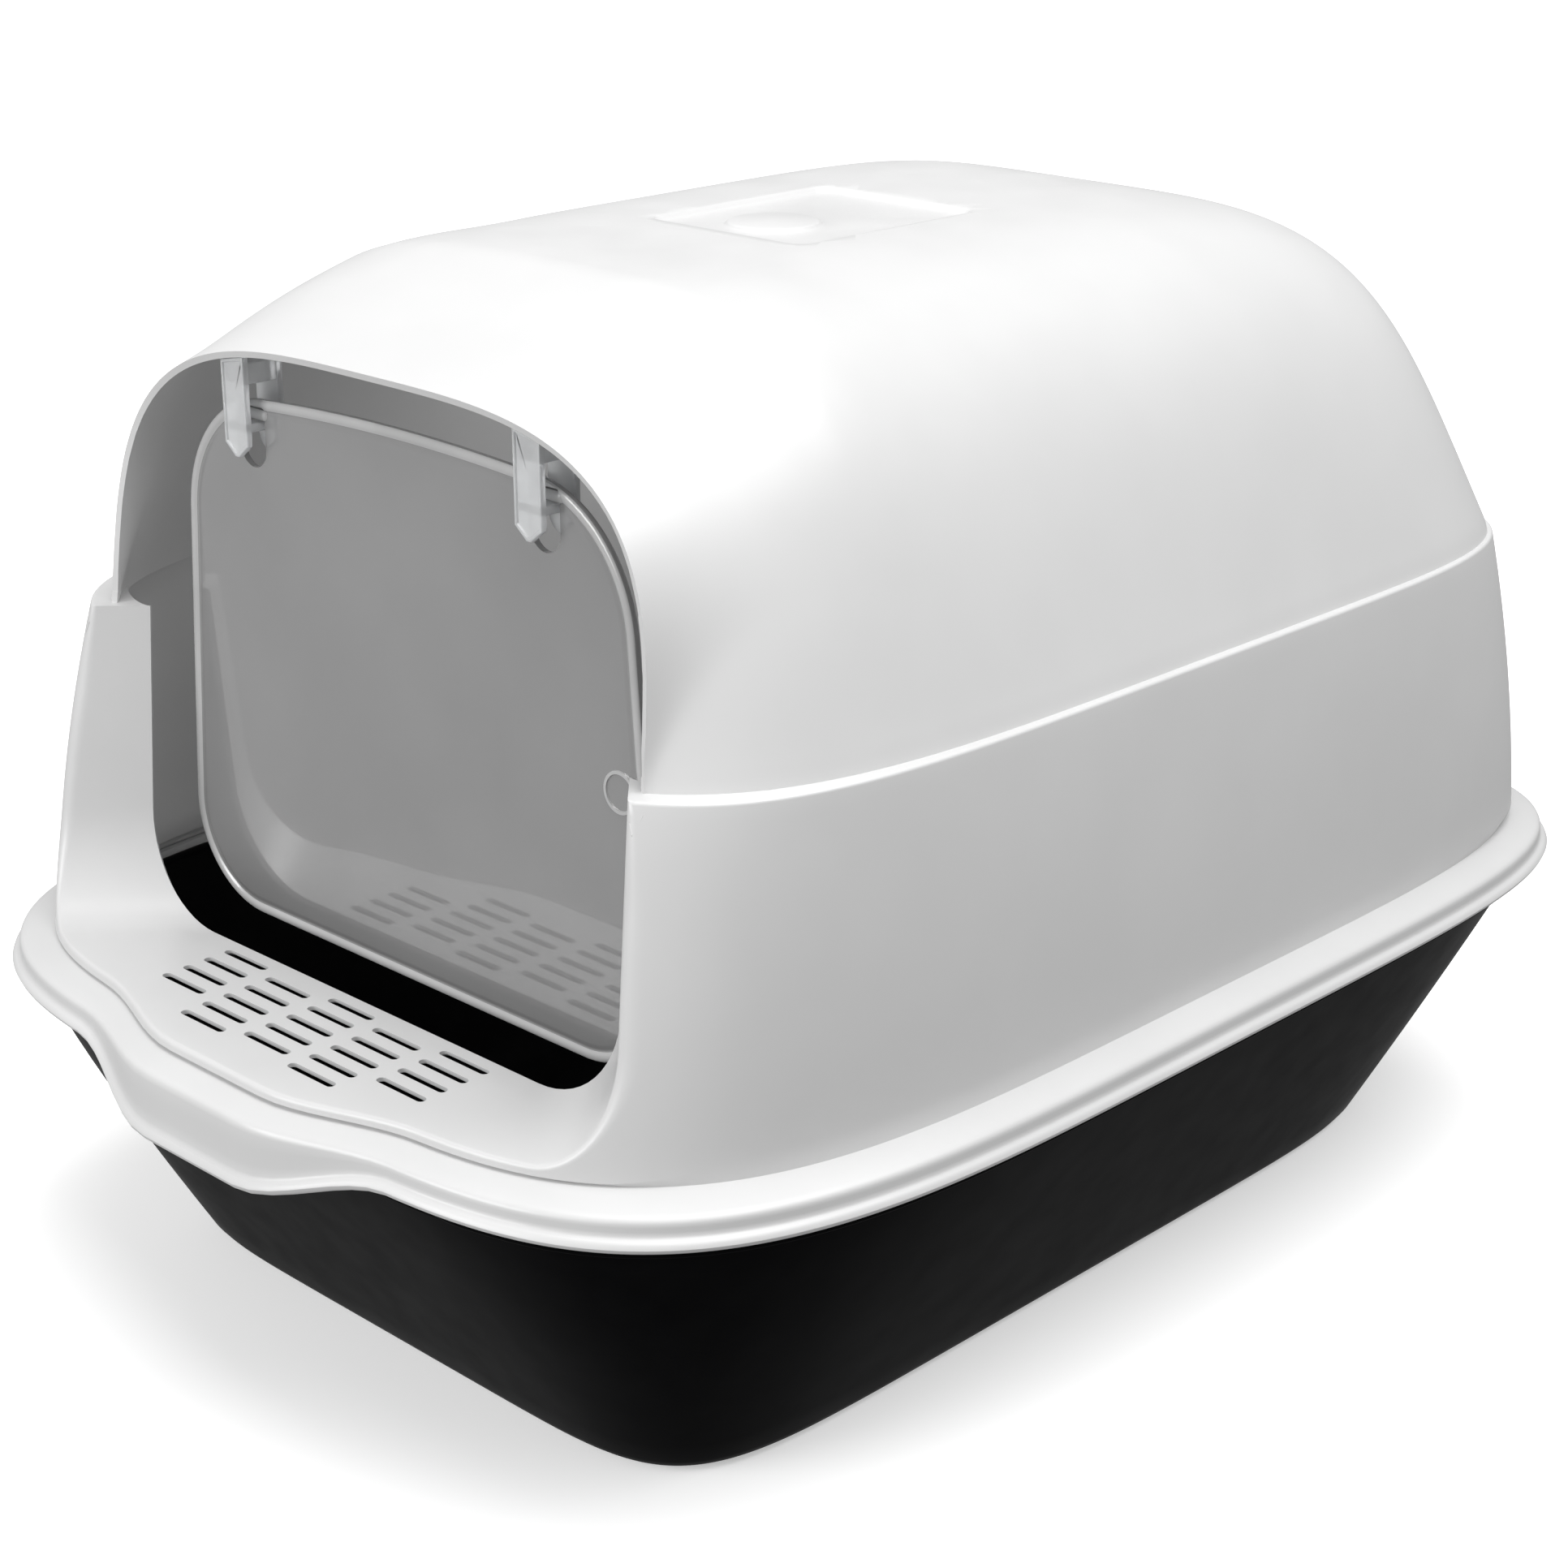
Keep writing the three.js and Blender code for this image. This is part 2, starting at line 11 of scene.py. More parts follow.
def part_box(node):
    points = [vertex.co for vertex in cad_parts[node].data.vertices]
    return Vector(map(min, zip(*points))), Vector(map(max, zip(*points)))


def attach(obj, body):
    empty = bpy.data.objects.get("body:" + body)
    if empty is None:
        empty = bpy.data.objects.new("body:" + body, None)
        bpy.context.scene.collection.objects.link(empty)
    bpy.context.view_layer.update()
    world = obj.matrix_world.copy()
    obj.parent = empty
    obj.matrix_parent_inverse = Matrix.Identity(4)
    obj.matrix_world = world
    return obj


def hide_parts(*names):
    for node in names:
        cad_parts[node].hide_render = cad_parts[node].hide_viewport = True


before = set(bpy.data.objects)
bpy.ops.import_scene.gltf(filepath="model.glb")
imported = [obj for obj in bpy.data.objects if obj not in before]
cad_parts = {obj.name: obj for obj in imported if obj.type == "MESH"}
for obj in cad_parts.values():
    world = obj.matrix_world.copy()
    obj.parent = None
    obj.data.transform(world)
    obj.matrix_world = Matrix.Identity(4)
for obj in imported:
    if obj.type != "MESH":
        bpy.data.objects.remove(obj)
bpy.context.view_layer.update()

# ---------------------------------------------------------------- dimensions

SKIN = 0.0024

# Outlines seen from above: half the width, the front and rear ends, where the two halves meet,
# and the power of each half's superellipse.
RIM = {"half": 0.2155, "front": -0.277, "rear": 0.291, "mid": -0.007, "front_power": 4.1, "rear_power": 5.5}
FOOT = {"half": 0.1995, "front": -0.2635, "rear": 0.275, "mid": 0.007, "front_power": 4.2, "rear_power": 6.0}
RIDGE = {"half": 0.189, "front": -0.232, "rear": 0.259, "mid": 0.013, "front_power": 5.0, "rear_power": 5.6}
TRAY_FLOOR = {
    "half": 0.1485, "front": -0.204, "rear": 0.224, "mid": -0.0015, "front_power": 7.5, "rear_power": 7.5,
}

RIM_Z = 0.1215
FOOT_Z = 0.1372
RIDGE_Z = 0.257
ROOF_Z = 0.3885
WALL_BULGE = 0.002

# The lip's reach fades out up the wall between two shares of the wall's height.
LIP = {"reach": 0.014, "dip": 0.014, "flat_half": 0.025, "end_half": 0.087, "fade": (0.1, 0.4)}

SHELF = {"z": 0.141, "y": -0.2118, "slope": 0.02, "crown": 0.0007}
ENTRY = {"half": 0.128, "corner": 0.038, "lean": 0.0716}

# Radii of the lower hood's upper edge: along the ridge, along the sill, and what the pillars add.
EDGE = {"ridge": 0.0012, "sill": 0.0018, "pillar": 0.0032, "pillar_rise": 0.04, "top_fade": 0.03}
# The wall's columns spread under the pillars: how wide at the foot, how fast, and how far round the side.
FAN = {"foot_x": 0.180, "bend": 0.6, "turn": 0.42 * math.pi, "ease": 1.5}
# The flat web on the ridge that the upper half stands on, and how far it widens behind the pillar tops.
WEB = {"width": 0.0062, "corner": 0.42, "ease": 1.2}
RIDGE_COLUMNS = 250
WALL_ROWS = 26
EDGE_ROWS = 8
RECESS_ROWS = 12

# Each of side, nose and tail is a straight lean over the full height, and the power of the shoulder.
DOME = {
    "half": 0.1863, "front": -0.228, "rear": 0.2555, "mid": 0.0252,
    "side": (0.272, 4.56), "nose": (0.099, 3.57), "tail": (0.186, 5.53),
    "front_power": 4.65, "rear_power": 5.87, "top_power": 4.9,
}
# The arch over the door leans back and runs into the dome; its collar widens and sinks on the way.
ARCH = {
    "y": -0.2108, "lean": math.radians(6.44), "half": 0.1418, "flare": 0.311, "drop": 0.0248,
    "back_y": -0.118, "below_roof": 0.001, "sink": 0.12, "tail": 0.17,
}
ARCH_EDGE = {"taper": 0.024, "power": 3.48}
ARCH_BACK = {"taper": 0.2, "power": 4.2}
# The dome and the arch's collar are both measured from this point, and run into each other softly.
HEART = (0.0, 0.023, RIDGE_Z - 0.03)
JOIN = {"least": 0.0005, "most": 0.010, "rise": 0.06}
UPPER_FOOT_Z = RIDGE_Z - 0.0014
UPPER_COLUMNS = 320
UPPER_ROWS = 70

SLOT = {
    "length": 0.024, "width": 0.0036, "columns": 5, "column_pitch": 0.0303, "row_pitch": 0.00903,
    "first_y": -0.2191, "rows": 5, "outer_rows": 4, "through": 0.012, "pocket_grow": 0.0018,
    "pocket_skin": 0.0008, "above": 0.006,
}

ROOF_PANEL = {"half": 0.039, "front": -0.034, "rear": 0.060, "corner": 0.006, "depth": 0.0022}
BOSS = {"radius": 0.0175, "x": -0.003, "y": -0.005, "below_roof": 0.0006}

GAP = 0.0003
TRAY = {"inset": 0.0075, "flange": 0.0035, "wall": 0.0028, "floor": 0.003}

# The door narrows upwards, from low_half at low_z to high_half at high_z.
DOOR = {
    "y": -0.189, "bottom_z": 0.1425, "low_half": 0.1265, "low_z": 0.173, "high_half": 0.1165, "high_z": 0.302,
    "top_z": 0.3414, "crown": 0.0024, "bottom_corner": 0.037, "top_corner": 0.050, "half_thick": 0.0012,
}
PIN = {"z": 0.3355, "radius": 0.0022, "root": 0.002}
WINDOW = {"half": 0.0072, "bottom_z": 0.316, "top_z": 0.3383, "corner": 0.0012}
RING = {"x": 0.109, "z": 0.243, "radius": 0.0068, "half_width": 0.0009, "proud": 0.0005, "root": 0.0006}
HANGER = {
    "x": 0.0765, "half": 0.0065, "plate": 0.0025, "gap": 0.006, "tip_z": 0.3205, "tip": 0.005,
    "bridge_z": 0.347, "cradle_z": 0.330, "snap_gap": 0.0022, "rim": 0.0015, "pocket": 0.0007,
    "block_edge": 0.0006,
}
HOLDER = {
    "half": 0.045, "front": -0.039, "rear": 0.065, "wall": 0.0022, "bars": 5, "bar": 0.003,
    "bar_thick": 0.002, "tab": 0.014, "tab_thick": 0.0024, "lift": 0.0001,
}


# ---------------------------------------------------------------- small tools

def signed_power(value, power):
    return np.sign(value) * np.abs(value) ** power


def smoothstep(value, start, end):
    t = np.clip((value - start) / (end - start), 0, 1)
    return t * t * (3 - 2 * t)


def mix(a, b, t):
    return {key: a[key] + (b[key] - a[key]) * t for key in a}


def inset(outline, by):
    moved = {"half": outline["half"] - by, "front": outline["front"] + by, "rear": outline["rear"] - by}
    return {**outline, **moved}


def along_outline(outline, angle):
    """A point of an outline whose front and rear halves are superellipses of their own power."""
    power = 2 / np.where(np.sin(angle) < 0, outline["front_power"], outline["rear_power"])
    across = signed_power(np.cos(angle), power)
    along = signed_power(np.sin(angle), power)
    reach = np.where(along < 0, outline["mid"] - outline["front"], outline["rear"] - outline["mid"])
    return outline["half"] * across, outline["mid"] + reach * along


def lip_share(x, y):
    """1 in the middle of the front, where the finger lip is, and 0 beside and behind it."""
    return np.where(y < 0, 1 - smoothstep(np.abs(x), LIP["flat_half"], LIP["end_half"]), 0)


def linked(name, data):
    obj = bpy.data.objects.new(name, data)
    bpy.context.scene.collection.objects.link(obj)
    return obj


def new_object(name, vertices, faces, smooth=True):
    mesh = bpy.data.meshes.new(name)
    mesh.from_pydata([tuple(v) for v in vertices], [], faces)
    mesh.validate()
    for polygon in mesh.polygons:
        polygon.use_smooth = smooth
    return linked(name, mesh)


def object_from(bm, name):
    """A new object that holds a bmesh, which is freed."""
    mesh = bpy.data.meshes.new(name)
    bm.to_mesh(mesh)
    bm.free()
    return linked(name, mesh)


def grid_faces(rows, columns, wrap=True):
    """Quads over a rows x columns block of vertices, row by row, the columns closed into a ring."""
    faces = []
    for r in range(rows - 1):
        for c in range(columns if wrap else columns - 1):
            n = (c + 1) % columns
            low, high = r * columns, (r + 1) * columns
            faces.append((low + c, low + n, high + n, high + c))
    return faces


def face_outwards(obj):
    bm = bmesh.new()
    bm.from_mesh(obj.data)
    bmesh.ops.recalc_face_normals(bm, faces=bm.faces)
    bm.to_mesh(obj.data)
    bm.free()


def lofted(name, rings):
    """A closed solid through rings with equal counts, each end closed by a fan."""
    count = len(rings[0])
    points = np.concatenate(rings + [[rings[0].mean(0)], [rings[-1].mean(0)]])
    faces = grid_faces(len(rings), count)
    for first, hub in ((0, len(points) - 2), (count * (len(rings) - 1), len(points) - 1)):
        faces += [(first + i, first + (i + 1) % count, hub) for i in range(count)]
    obj = new_object(name, points, faces)
    face_outwards(obj)
    return obj


def inset_points(points, by):
    """A closed anticlockwise outline moved inwards, each point along its mitre."""
    before = points - np.roll(points, 1, 0)
    after = np.roll(points, -1, 0) - points
    before = before / np.linalg.norm(before, axis=1, keepdims=True)
    after = after / np.linalg.norm(after, axis=1, keepdims=True)
    side_before = np.stack([-before[:, 1], before[:, 0]], -1)
    side_after = np.stack([-after[:, 1], after[:, 0]], -1)
    spread = 1 + (side_before * side_after).sum(1, keepdims=True)
    return points + (side_before + side_after) / spread * by


def flat_ring(points, z):
    return np.stack([points[:, 0], points[:, 1], np.full(len(points), z)], -1)


def upright_plate(name, outline, section):
    """A plate in the XZ plane. section gives (inset, y) rings from the middle of its front to its rear."""
    rings = []
    for by, y in section:
        flat = inset_points(outline, by)
        rings.append(np.stack([flat[:, 0], np.full(len(flat), y), flat[:, 1]], -1))
    return lofted(name, rings)


def arc(centre, radius, start, end, steps):
    turn = np.linspace(start, end, steps)
    return np.stack([centre[0] + radius * np.cos(turn), centre[1] + radius * np.sin(turn)], -1)


def rounded_rectangle(low, high, radius, steps=7):
    quarter = math.pi / 2
    left, right = low[0] + radius, high[0] - radius
    front, rear = low[1] + radius, high[1] - radius
    centres = [(right, front), (right, rear), (left, rear), (left, front)]
    corners = [
        arc(centre, radius, (k - 1) * quarter, k * quarter, steps)
        for k, centre in enumerate(centres)
    ]
    return np.concatenate(corners)


def rounded_block(name, low, high, radius, segments=3):
    bm = bmesh.new()
    bmesh.ops.create_cube(bm, size=1)
    size = Vector(high) - Vector(low)
    bmesh.ops.scale(bm, vec=size, verts=bm.verts)
    bmesh.ops.translate(bm, vec=(Vector(high) + Vector(low)) / 2, verts=bm.verts)
    bmesh.ops.bevel(bm, geom=bm.edges[:], offset=radius, segments=segments, profile=0.5, affect="EDGES")
    return object_from(bm, name)


def spread_angles(outline, start, end, count, turn_weight):
    """Angles evenly spaced along an outline, closer together where it turns."""
    even = np.linspace(start, end, 4001)
    x, y = along_outline(outline, even)
    step = np.hypot(np.diff(x), np.diff(y))
    turn = np.abs(np.diff(np.unwrap(np.arctan2(np.diff(y), np.diff(x))), prepend=0))
    turn[0] = 0
    travel = np.concatenate([[0], np.cumsum(step / step.sum() + turn_weight * turn / turn.sum())])
    return np.interp(np.linspace(0, travel[-1], count), travel, even)


def last_inside(outside, near, far, steps=40):
    """The furthest reach between `near` and `far` at which outside(reach) isn't true yet."""
    for _ in range(steps):
        middle = (near + far) / 2
        beyond = outside(middle)
        far = np.where(beyond, middle, far)
        near = np.where(beyond, near, middle)
    return near


def apply_modifiers(obj):
    bpy.context.view_layer.update()
    graph = bpy.context.evaluated_depsgraph_get()
    mesh = bpy.data.meshes.new_from_object(obj.evaluated_get(graph))
    old = obj.data
    obj.modifiers.clear()
    obj.data = mesh
    bpy.data.meshes.remove(old)


def solidify(obj, thickness):
    modifier = obj.modifiers.new("wall", "SOLIDIFY")
    modifier.thickness = thickness
    modifier.offset = -1
    modifier.use_even_offset = False
    apply_modifiers(obj)


def combine(obj, others, operation):
    for other in others:
        modifier = obj.modifiers.new("combine", "BOOLEAN")
        modifier.operation = operation
        modifier.solver = "MANIFOLD"
        modifier.object = other
        apply_modifiers(obj)
        bpy.data.objects.remove(other)


def shade_by_angle(obj, degrees):
    for polygon in obj.data.polygons:
        polygon.use_smooth = True
    obj.data.set_sharp_from_angle(angle=math.radians(degrees))


# ---------------------------------------------------------------- hood, lower half

def wall_outline(share):
    """The outer wall's outline at a share of the height from foot to ridge; it bulges halfway up."""
    bulge = WALL_BULGE * 4 * share * (1 - share)
    return inset(mix(FOOT, RIDGE, share), -bulge)


def wall_lip(x, y, share):
    """How far the finger lip pulls the wall forwards."""
    return lip_share(x, y) * LIP["reach"] * (1 - smoothstep(share, *LIP["fade"]))


def wall_share(z):
    return np.clip((z - FOOT_Z) / (RIDGE_Z - FOOT_Z), 0, 1)


def wall_point(angle, share):
    """A point of the outer wall: angle round the hood, share of the height from foot to ridge."""
    x, y = along_outline(wall_outline(share), angle)
    z = FOOT_Z + (RIDGE_Z - FOOT_Z) * share * np.ones_like(x)
    return np.stack([x, y - wall_lip(x, y, share), z], -1)


def outside_wall(point):
    """Below 0 inside the front wall's outer surface, above 0 outside it."""
    x, y, z = point[..., 0], point[..., 1], point[..., 2]
    share = wall_share(z)
    outline = wall_outline(share)
    forward = y + wall_lip(x, y, share) - outline["mid"]
    across_part = np.abs(x) / outline["half"]
    forward_part = np.abs(forward) / (outline["mid"] - outline["front"])
    power = outline["front_power"]
    return across_part ** power + forward_part ** power - 1


def wall_coordinates(point):
    """The angle and share at which wall_point gives this point of the front wall."""
    share = wall_share(point[..., 2])
    outline = wall_outline(share)
    across = np.clip(point[..., 0] / outline["half"], -1, 1)
    return -np.arccos(signed_power(across, outline["front_power"] / 2)), share


def opening_edge():
    """The U of the entrance from the left pillar's top, round under the door, to the right pillar's top."""
    centre_x = ENTRY["half"] - ENTRY["corner"]
    centre_z = SHELF["z"] + ENTRY["corner"]
    side = [(-ENTRY["half"], z) for z in np.linspace(RIDGE_Z, centre_z, 18)[:-1]]
    turn = arc((-centre_x, centre_z), ENTRY["corner"], math.pi, 1.5 * math.pi, 15)
    half_sill = [(x, SHELF["z"]) for x in np.linspace(-centre_x, 0, 20)[1:]]
    left = np.concatenate([side, turn, half_sill])
    right = left[:-1][::-1] * np.array([-1, 1])
    edge = np.concatenate([left, right])
    y = SHELF["y"] + (edge[:, 1] - SHELF["z"]) * ENTRY["lean"]
    return np.stack([edge[:, 0], y, edge[:, 1]], -1)


def recess_point(edge, out):
    """The recess surface, `out` in front of a point of the opening's edge."""
    flat = ENTRY["half"] - ENTRY["corner"]
    x = edge[..., 0]
    spread = np.clip(np.abs(x) / flat, 0, 1) * np.sign(x)
    low = (RIDGE_Z - edge[..., 2]) / (RIDGE_Z - SHELF["z"])
    z = edge[..., 2] - SHELF["slope"] * out * low
    z = z + SHELF["crown"] * low ** 8 * (1 - (x / ENTRY["half"]) ** 2) * smoothstep(out, 0.0, 0.01)
    return np.stack([x + out * spread, edge[..., 1] - out, z], -1)


def crease_reach(edge):
    """How far in front of each opening edge point the recess meets the outer wall."""
    furthest = np.full(len(edge), 0.12)
    return last_inside(lambda out: outside_wall(recess_point(edge, out)) > 0, np.zeros(len(edge)), furthest)


def rounded(start, corner, after, radius, steps):
    """Points of a soft corner from `start` round to the run towards `after`, for a row of columns at once."""
    step = after - corner
    length = np.linalg.norm(step, axis=-1, keepdims=True)
    end = corner + step / length * np.minimum(radius[:, None], length * 0.75)
    return [
        start * (1 - t) ** 2 + corner * 2 * t * (1 - t) + end * t ** 2
        for t in np.linspace(0, 1, steps)
    ]


# The rim's section, from the underside out and up to the foot of the wall: inset from the
# widest outline, height above RIM_Z, and how much of the lip's reach and of its dip it takes.
RIM_SECTION = [
    (0.0066, 0.0034, 1, 1), (0.0065, 0.0013, 1, 1), (0.0060, 0.0003, 1, 1), (0.0050, 0, 1, 1),
    (0.0037, 0, 1, 1), (0.0024, 0, 1, 1), (0.0012, 0.0005, 1, 1), (0.0004, 0.0013, 1, 1),
    (0, 0.0024, 1, 1), (0.0004, 0.0036, 1, 1), (0.0013, 0.0045, 1, 1), (0.0021, 0.0050, 1, 0.98),
    (0.0026, 0.0057, 1, 0.93), (0.0027, 0.0070, 1, 0.75), (0.0027, 0.0085, 1, 0.4),
    (0.0028, 0.0097, 1, 0.12), (0.0032, 0.0106, 1, 0.03), (0.0041, 0.0114, 0.99, 0),
    (0.0055, 0.0120, 0.98, 0), (0.0085, 0.0130, 0.96, 0), (0.0115, 0.0138, 0.94, 0),
    (0.0138, 0.0144, 0.93, 0), (0.0153, 0.0149, 0.95, 0),
]


def rim_rows(angle):
    """The rim's rings of points, one for each point of its section."""
    rows = []
    for by, rise, lip_reach, lip_dip in RIM_SECTION:
        x, y = along_outline(inset(RIM, by), angle)
        share = lip_share(x, y)
        z = RIM_Z + rise - LIP["dip"] * lip_dip * share
        rows.append(np.stack([x, y - LIP["reach"] * lip_reach * share, z], -1))
    return rows


def foot_angles(crease, crease_angle, ridge_angle):
    """Where each column leaves the wall's foot.

    In front that is straight below the crease, fanning out under the pillars so that the columns
    there come to the crease from outside it. Round the sides the columns turn straight again."""
    right = crease[len(crease) // 2:]
    widest = np.maximum.accumulate(np.abs(right[:, 0]))
    rise = (right[:, 2] - right[0, 2]) / (RIDGE_Z - right[0, 2])
    foot_x = widest + (FAN["foot_x"] - widest[-1]) * np.maximum(rise, 0) ** FAN["bend"]
    foot_x = np.concatenate([-foot_x[:0:-1], foot_x])
    front = -np.arccos(signed_power(foot_x / FOOT["half"], FOOT["front_power"] / 2))
    lag = front[-1] - crease_angle[-1]
    from_right = np.clip((ridge_angle - crease_angle[-1]) / FAN["turn"], 0, 1)
    from_left = np.clip((crease_angle[0] + 2 * math.pi - ridge_angle) / FAN["turn"], 0, 1)
    turned = ridge_angle + lag * (1 - from_right) ** FAN["ease"] - lag * (1 - from_left) ** FAN["ease"]
    return np.concatenate([front, turned])


def web_edge(ridge_angle, start, end, opening_y):
    """The web's inner edge; it reaches the ends of the opening's edge behind the pillar tops."""
    x, y = along_outline(inset(RIDGE, WEB["width"]), ridge_angle)
    web = np.stack([x, y, np.full(len(x), RIDGE_Z)], -1)
    for side, away in ((-1, end - ridge_angle), (1, ridge_angle - start)):
        pull = (1 - smoothstep(away, 0, WEB["corner"])) ** WEB["ease"]
        target = np.array([side * ENTRY["half"], opening_y, RIDGE_Z])
        web = web + (target - web) * pull[:, None]
    return web


def crease_radius(height):
    """The crease is softest along the pillars, and sharper along the sill and at the pillar tops."""
    pillar = smoothstep(height, SHELF["z"], SHELF["z"] + EDGE["pillar_rise"])
    top = np.clip((RIDGE_Z - height) / EDGE["top_fade"], 0, 1)
    return EDGE["sill"] + EDGE["pillar"] * pillar * top


def short_of_crease(crease, radius):
    """Where the wall stops below its edge, by the edge's radius measured square to the crease."""
    along = np.gradient(crease[:, [0, 2]], axis=0)
    square = np.stack([along[:, 1], -along[:, 0]], -1) / np.linalg.norm(along, axis=1, keepdims=True)
    stop = crease.copy()
    stop[:, [0, 2]] += square * radius[:, None]
    stop[:, 2] = np.minimum(stop[:, 2], RIDGE_Z - EDGE["ridge"])
    return stop


def make_lower_hood():
    """One skin of columns: round the rim, up the wall, over its edge, and in along the recess or the web.

    The columns from the first to len(edge) rise to the crease round the entrance, the rest to the ridge."""
    edge = opening_edge()
    front = slice(0, len(edge))
    reach = crease_reach(edge)
    crease = recess_point(edge, reach)
    crease_angle, crease_share = wall_coordinates(crease)
    start, end = crease_angle[-1], crease_angle[0] + 2 * math.pi
    ridge_angle = spread_angles(RIDGE, start, end, RIDGE_COLUMNS + 2, 0.8)[1:-1]
    ones = np.ones(RIDGE_COLUMNS)

    foot_angle = foot_angles(crease, crease_angle, ridge_angle)
    corner = wall_point(np.concatenate([crease_angle, ridge_angle]), np.concatenate([crease_share, ones]))
    inner = np.concatenate([edge, web_edge(ridge_angle, start, end, edge[0, 1])])
    radius = np.concatenate([crease_radius(corner[front, 2]), EDGE["ridge"] * ones])
    stop_angle, stop_share = wall_coordinates(short_of_crease(crease, radius[front]))
    end_angle = np.concatenate([stop_angle, ridge_angle])
    end_share = np.concatenate([stop_share, ones - EDGE["ridge"] / (RIDGE_Z - FOOT_Z)])

    rows = rim_rows(foot_angle)
    for i in range(1, WALL_ROWS):
        t = (i / WALL_ROWS) ** 1.1
        rows.append(wall_point(foot_angle + (end_angle - foot_angle) * t, end_share * t))
    rows += rounded(wall_point(end_angle, end_share), corner, inner, radius, EDGE_ROWS)
    last = rows[-1]
    for i in range(1, RECESS_ROWS):
        t = i / RECESS_ROWS
        row = last + (inner - last) * t
        row[front] = recess_point(edge, np.minimum(reach * (1 - t), reach - radius[front] * 0.8))
        rows.append(row)
    rows.append(inner)
    return new_object("hood_lower", np.concatenate(rows), grid_faces(len(rows), len(corner)))


# ---------------------------------------------------------------- hood, upper half

def shrink(rule, share):
    """What is left of a reach at a share of the dome's height: a straight lean and a round shoulder."""
    lean, power = rule
    return (1 - lean * share) * (1 - share ** power) ** (1 / power)


def dome_point(angle, share):
    """A point of the dome: angle round the hood, share of the height from ridge to roof."""
    x_reach = DOME["half"] * shrink(DOME["side"], share)
    front = (DOME["mid"] - DOME["front"]) * shrink(DOME["nose"], share)
    rear = (DOME["rear"] - DOME["mid"]) * shrink(DOME["tail"], share)
    base = np.where(np.sin(angle) < 0, DOME["front_power"], DOME["rear_power"])
    power = 2 / (base + (DOME["top_power"] - base) * share)
    along = signed_power(np.sin(angle), power)
    y = DOME["mid"] + np.where(along < 0, front, rear) * along
    z = RIDGE_Z + share * (ROOF_Z - RIDGE_Z) * np.ones_like(y)
    return np.stack([x_reach * signed_power(np.cos(angle), power), y, z], -1)


def outside_collar(point):
    """Below 0 inside the arch's collar, above 0 outside it. It sinks into the roof behind back_y."""
    x, y, z = point[..., 0], point[..., 1], point[..., 2]
    lean = math.tan(ARCH["lean"])
    foot_y = y - (z - RIDGE_Z) * lean
    crest_back = (ROOF_Z - ARCH["drop"] - RIDGE_Z) * lean
    t = (ARCH["back_y"] - foot_y - crest_back) / (ARCH["back_y"] - ARCH["y"] - crest_back)
    height = ROOF_Z - ARCH["below_roof"] - ARCH["drop"] * np.maximum(t, 0) - RIDGE_Z
    half = ARCH["half"] + ARCH["flare"] * (np.minimum(foot_y, ARCH["back_y"]) - ARCH["y"])
    share = np.clip((foot_y - ARCH["y"]) / (ARCH["back_y"] - ARCH["y"]), 0, 1)
    shape = mix(ARCH_EDGE, ARCH_BACK, share)
    up = np.maximum(z - RIDGE_Z, 0) / height
    sink = 1 + ARCH["sink"] * smoothstep(foot_y, ARCH["back_y"], 0.0)
    across = np.abs(x) / (half * np.maximum(1 - shape["taper"] * up, 0.1))
    beyond = np.maximum(foot_y - ARCH["back_y"], 0) / ARCH["tail"]
    power = shape["power"]
    return (across * sink) ** power + (up * sink) ** power + beyond ** power - 1


def pushed_to_collar(shell):
    """The dome's points, moved out to the collar where that lies further out."""
    heart = np.array(HEART)
    arm = shell - heart
    reach = np.linalg.norm(arm, axis=-1)
    way = arm / reach[..., None]
    nearest, furthest = np.full(reach.shape, 0.02), np.full(reach.shape, 0.40)
    collar = last_inside(lambda out: outside_collar(heart + way * out[..., None]) > 0, nearest, furthest)
    rise = smoothstep(shell[..., 2], RIDGE_Z, RIDGE_Z + JOIN["rise"])
    soft = JOIN["most"] * rise + JOIN["least"]
    overlap = np.maximum(soft - np.abs(reach - collar), 0) / soft
    reach = np.maximum(reach, collar) + overlap ** 2 * soft / 4
    return heart + way * reach[..., None]


def make_upper_hood():
    """The dome with the arch's collar on it, cut open along the arch's leaning plane."""
    angle = spread_angles(DOME, -math.pi / 2, 1.5 * math.pi, UPPER_COLUMNS + 1, 0.7)[:-1]
    share = np.minimum(1 - (1 - np.linspace(0, 1, UPPER_ROWS)) ** 2.2, 0.99995)
    shell = pushed_to_collar(dome_point(angle[None, :], share[:, None]))
    shell[0, :, 2] = UPPER_FOOT_Z
    points = np.vstack([shell.reshape(-1, 3), shell[-1].mean(0)])
    top = len(points) - 1
    last = top - UPPER_COLUMNS
    faces = grid_faces(UPPER_ROWS, UPPER_COLUMNS)
    faces += [(last + c, last + (c + 1) % UPPER_COLUMNS, top) for c in range(UPPER_COLUMNS)]
    obj = new_object("hood_upper", points, faces)
    bm = bmesh.new()
    bm.from_mesh(obj.data)
    normal = Vector((0, -math.cos(ARCH["lean"]), math.sin(ARCH["lean"])))
    bmesh.ops.bisect_plane(
        bm, geom=bm.verts[:] + bm.edges[:] + bm.faces[:], dist=1e-6,
        plane_co=Vector((0, ARCH["y"], RIDGE_Z)), plane_no=normal, clear_outer=True,
    )
    bm.to_mesh(obj.data)
    bm.free()
    return obj


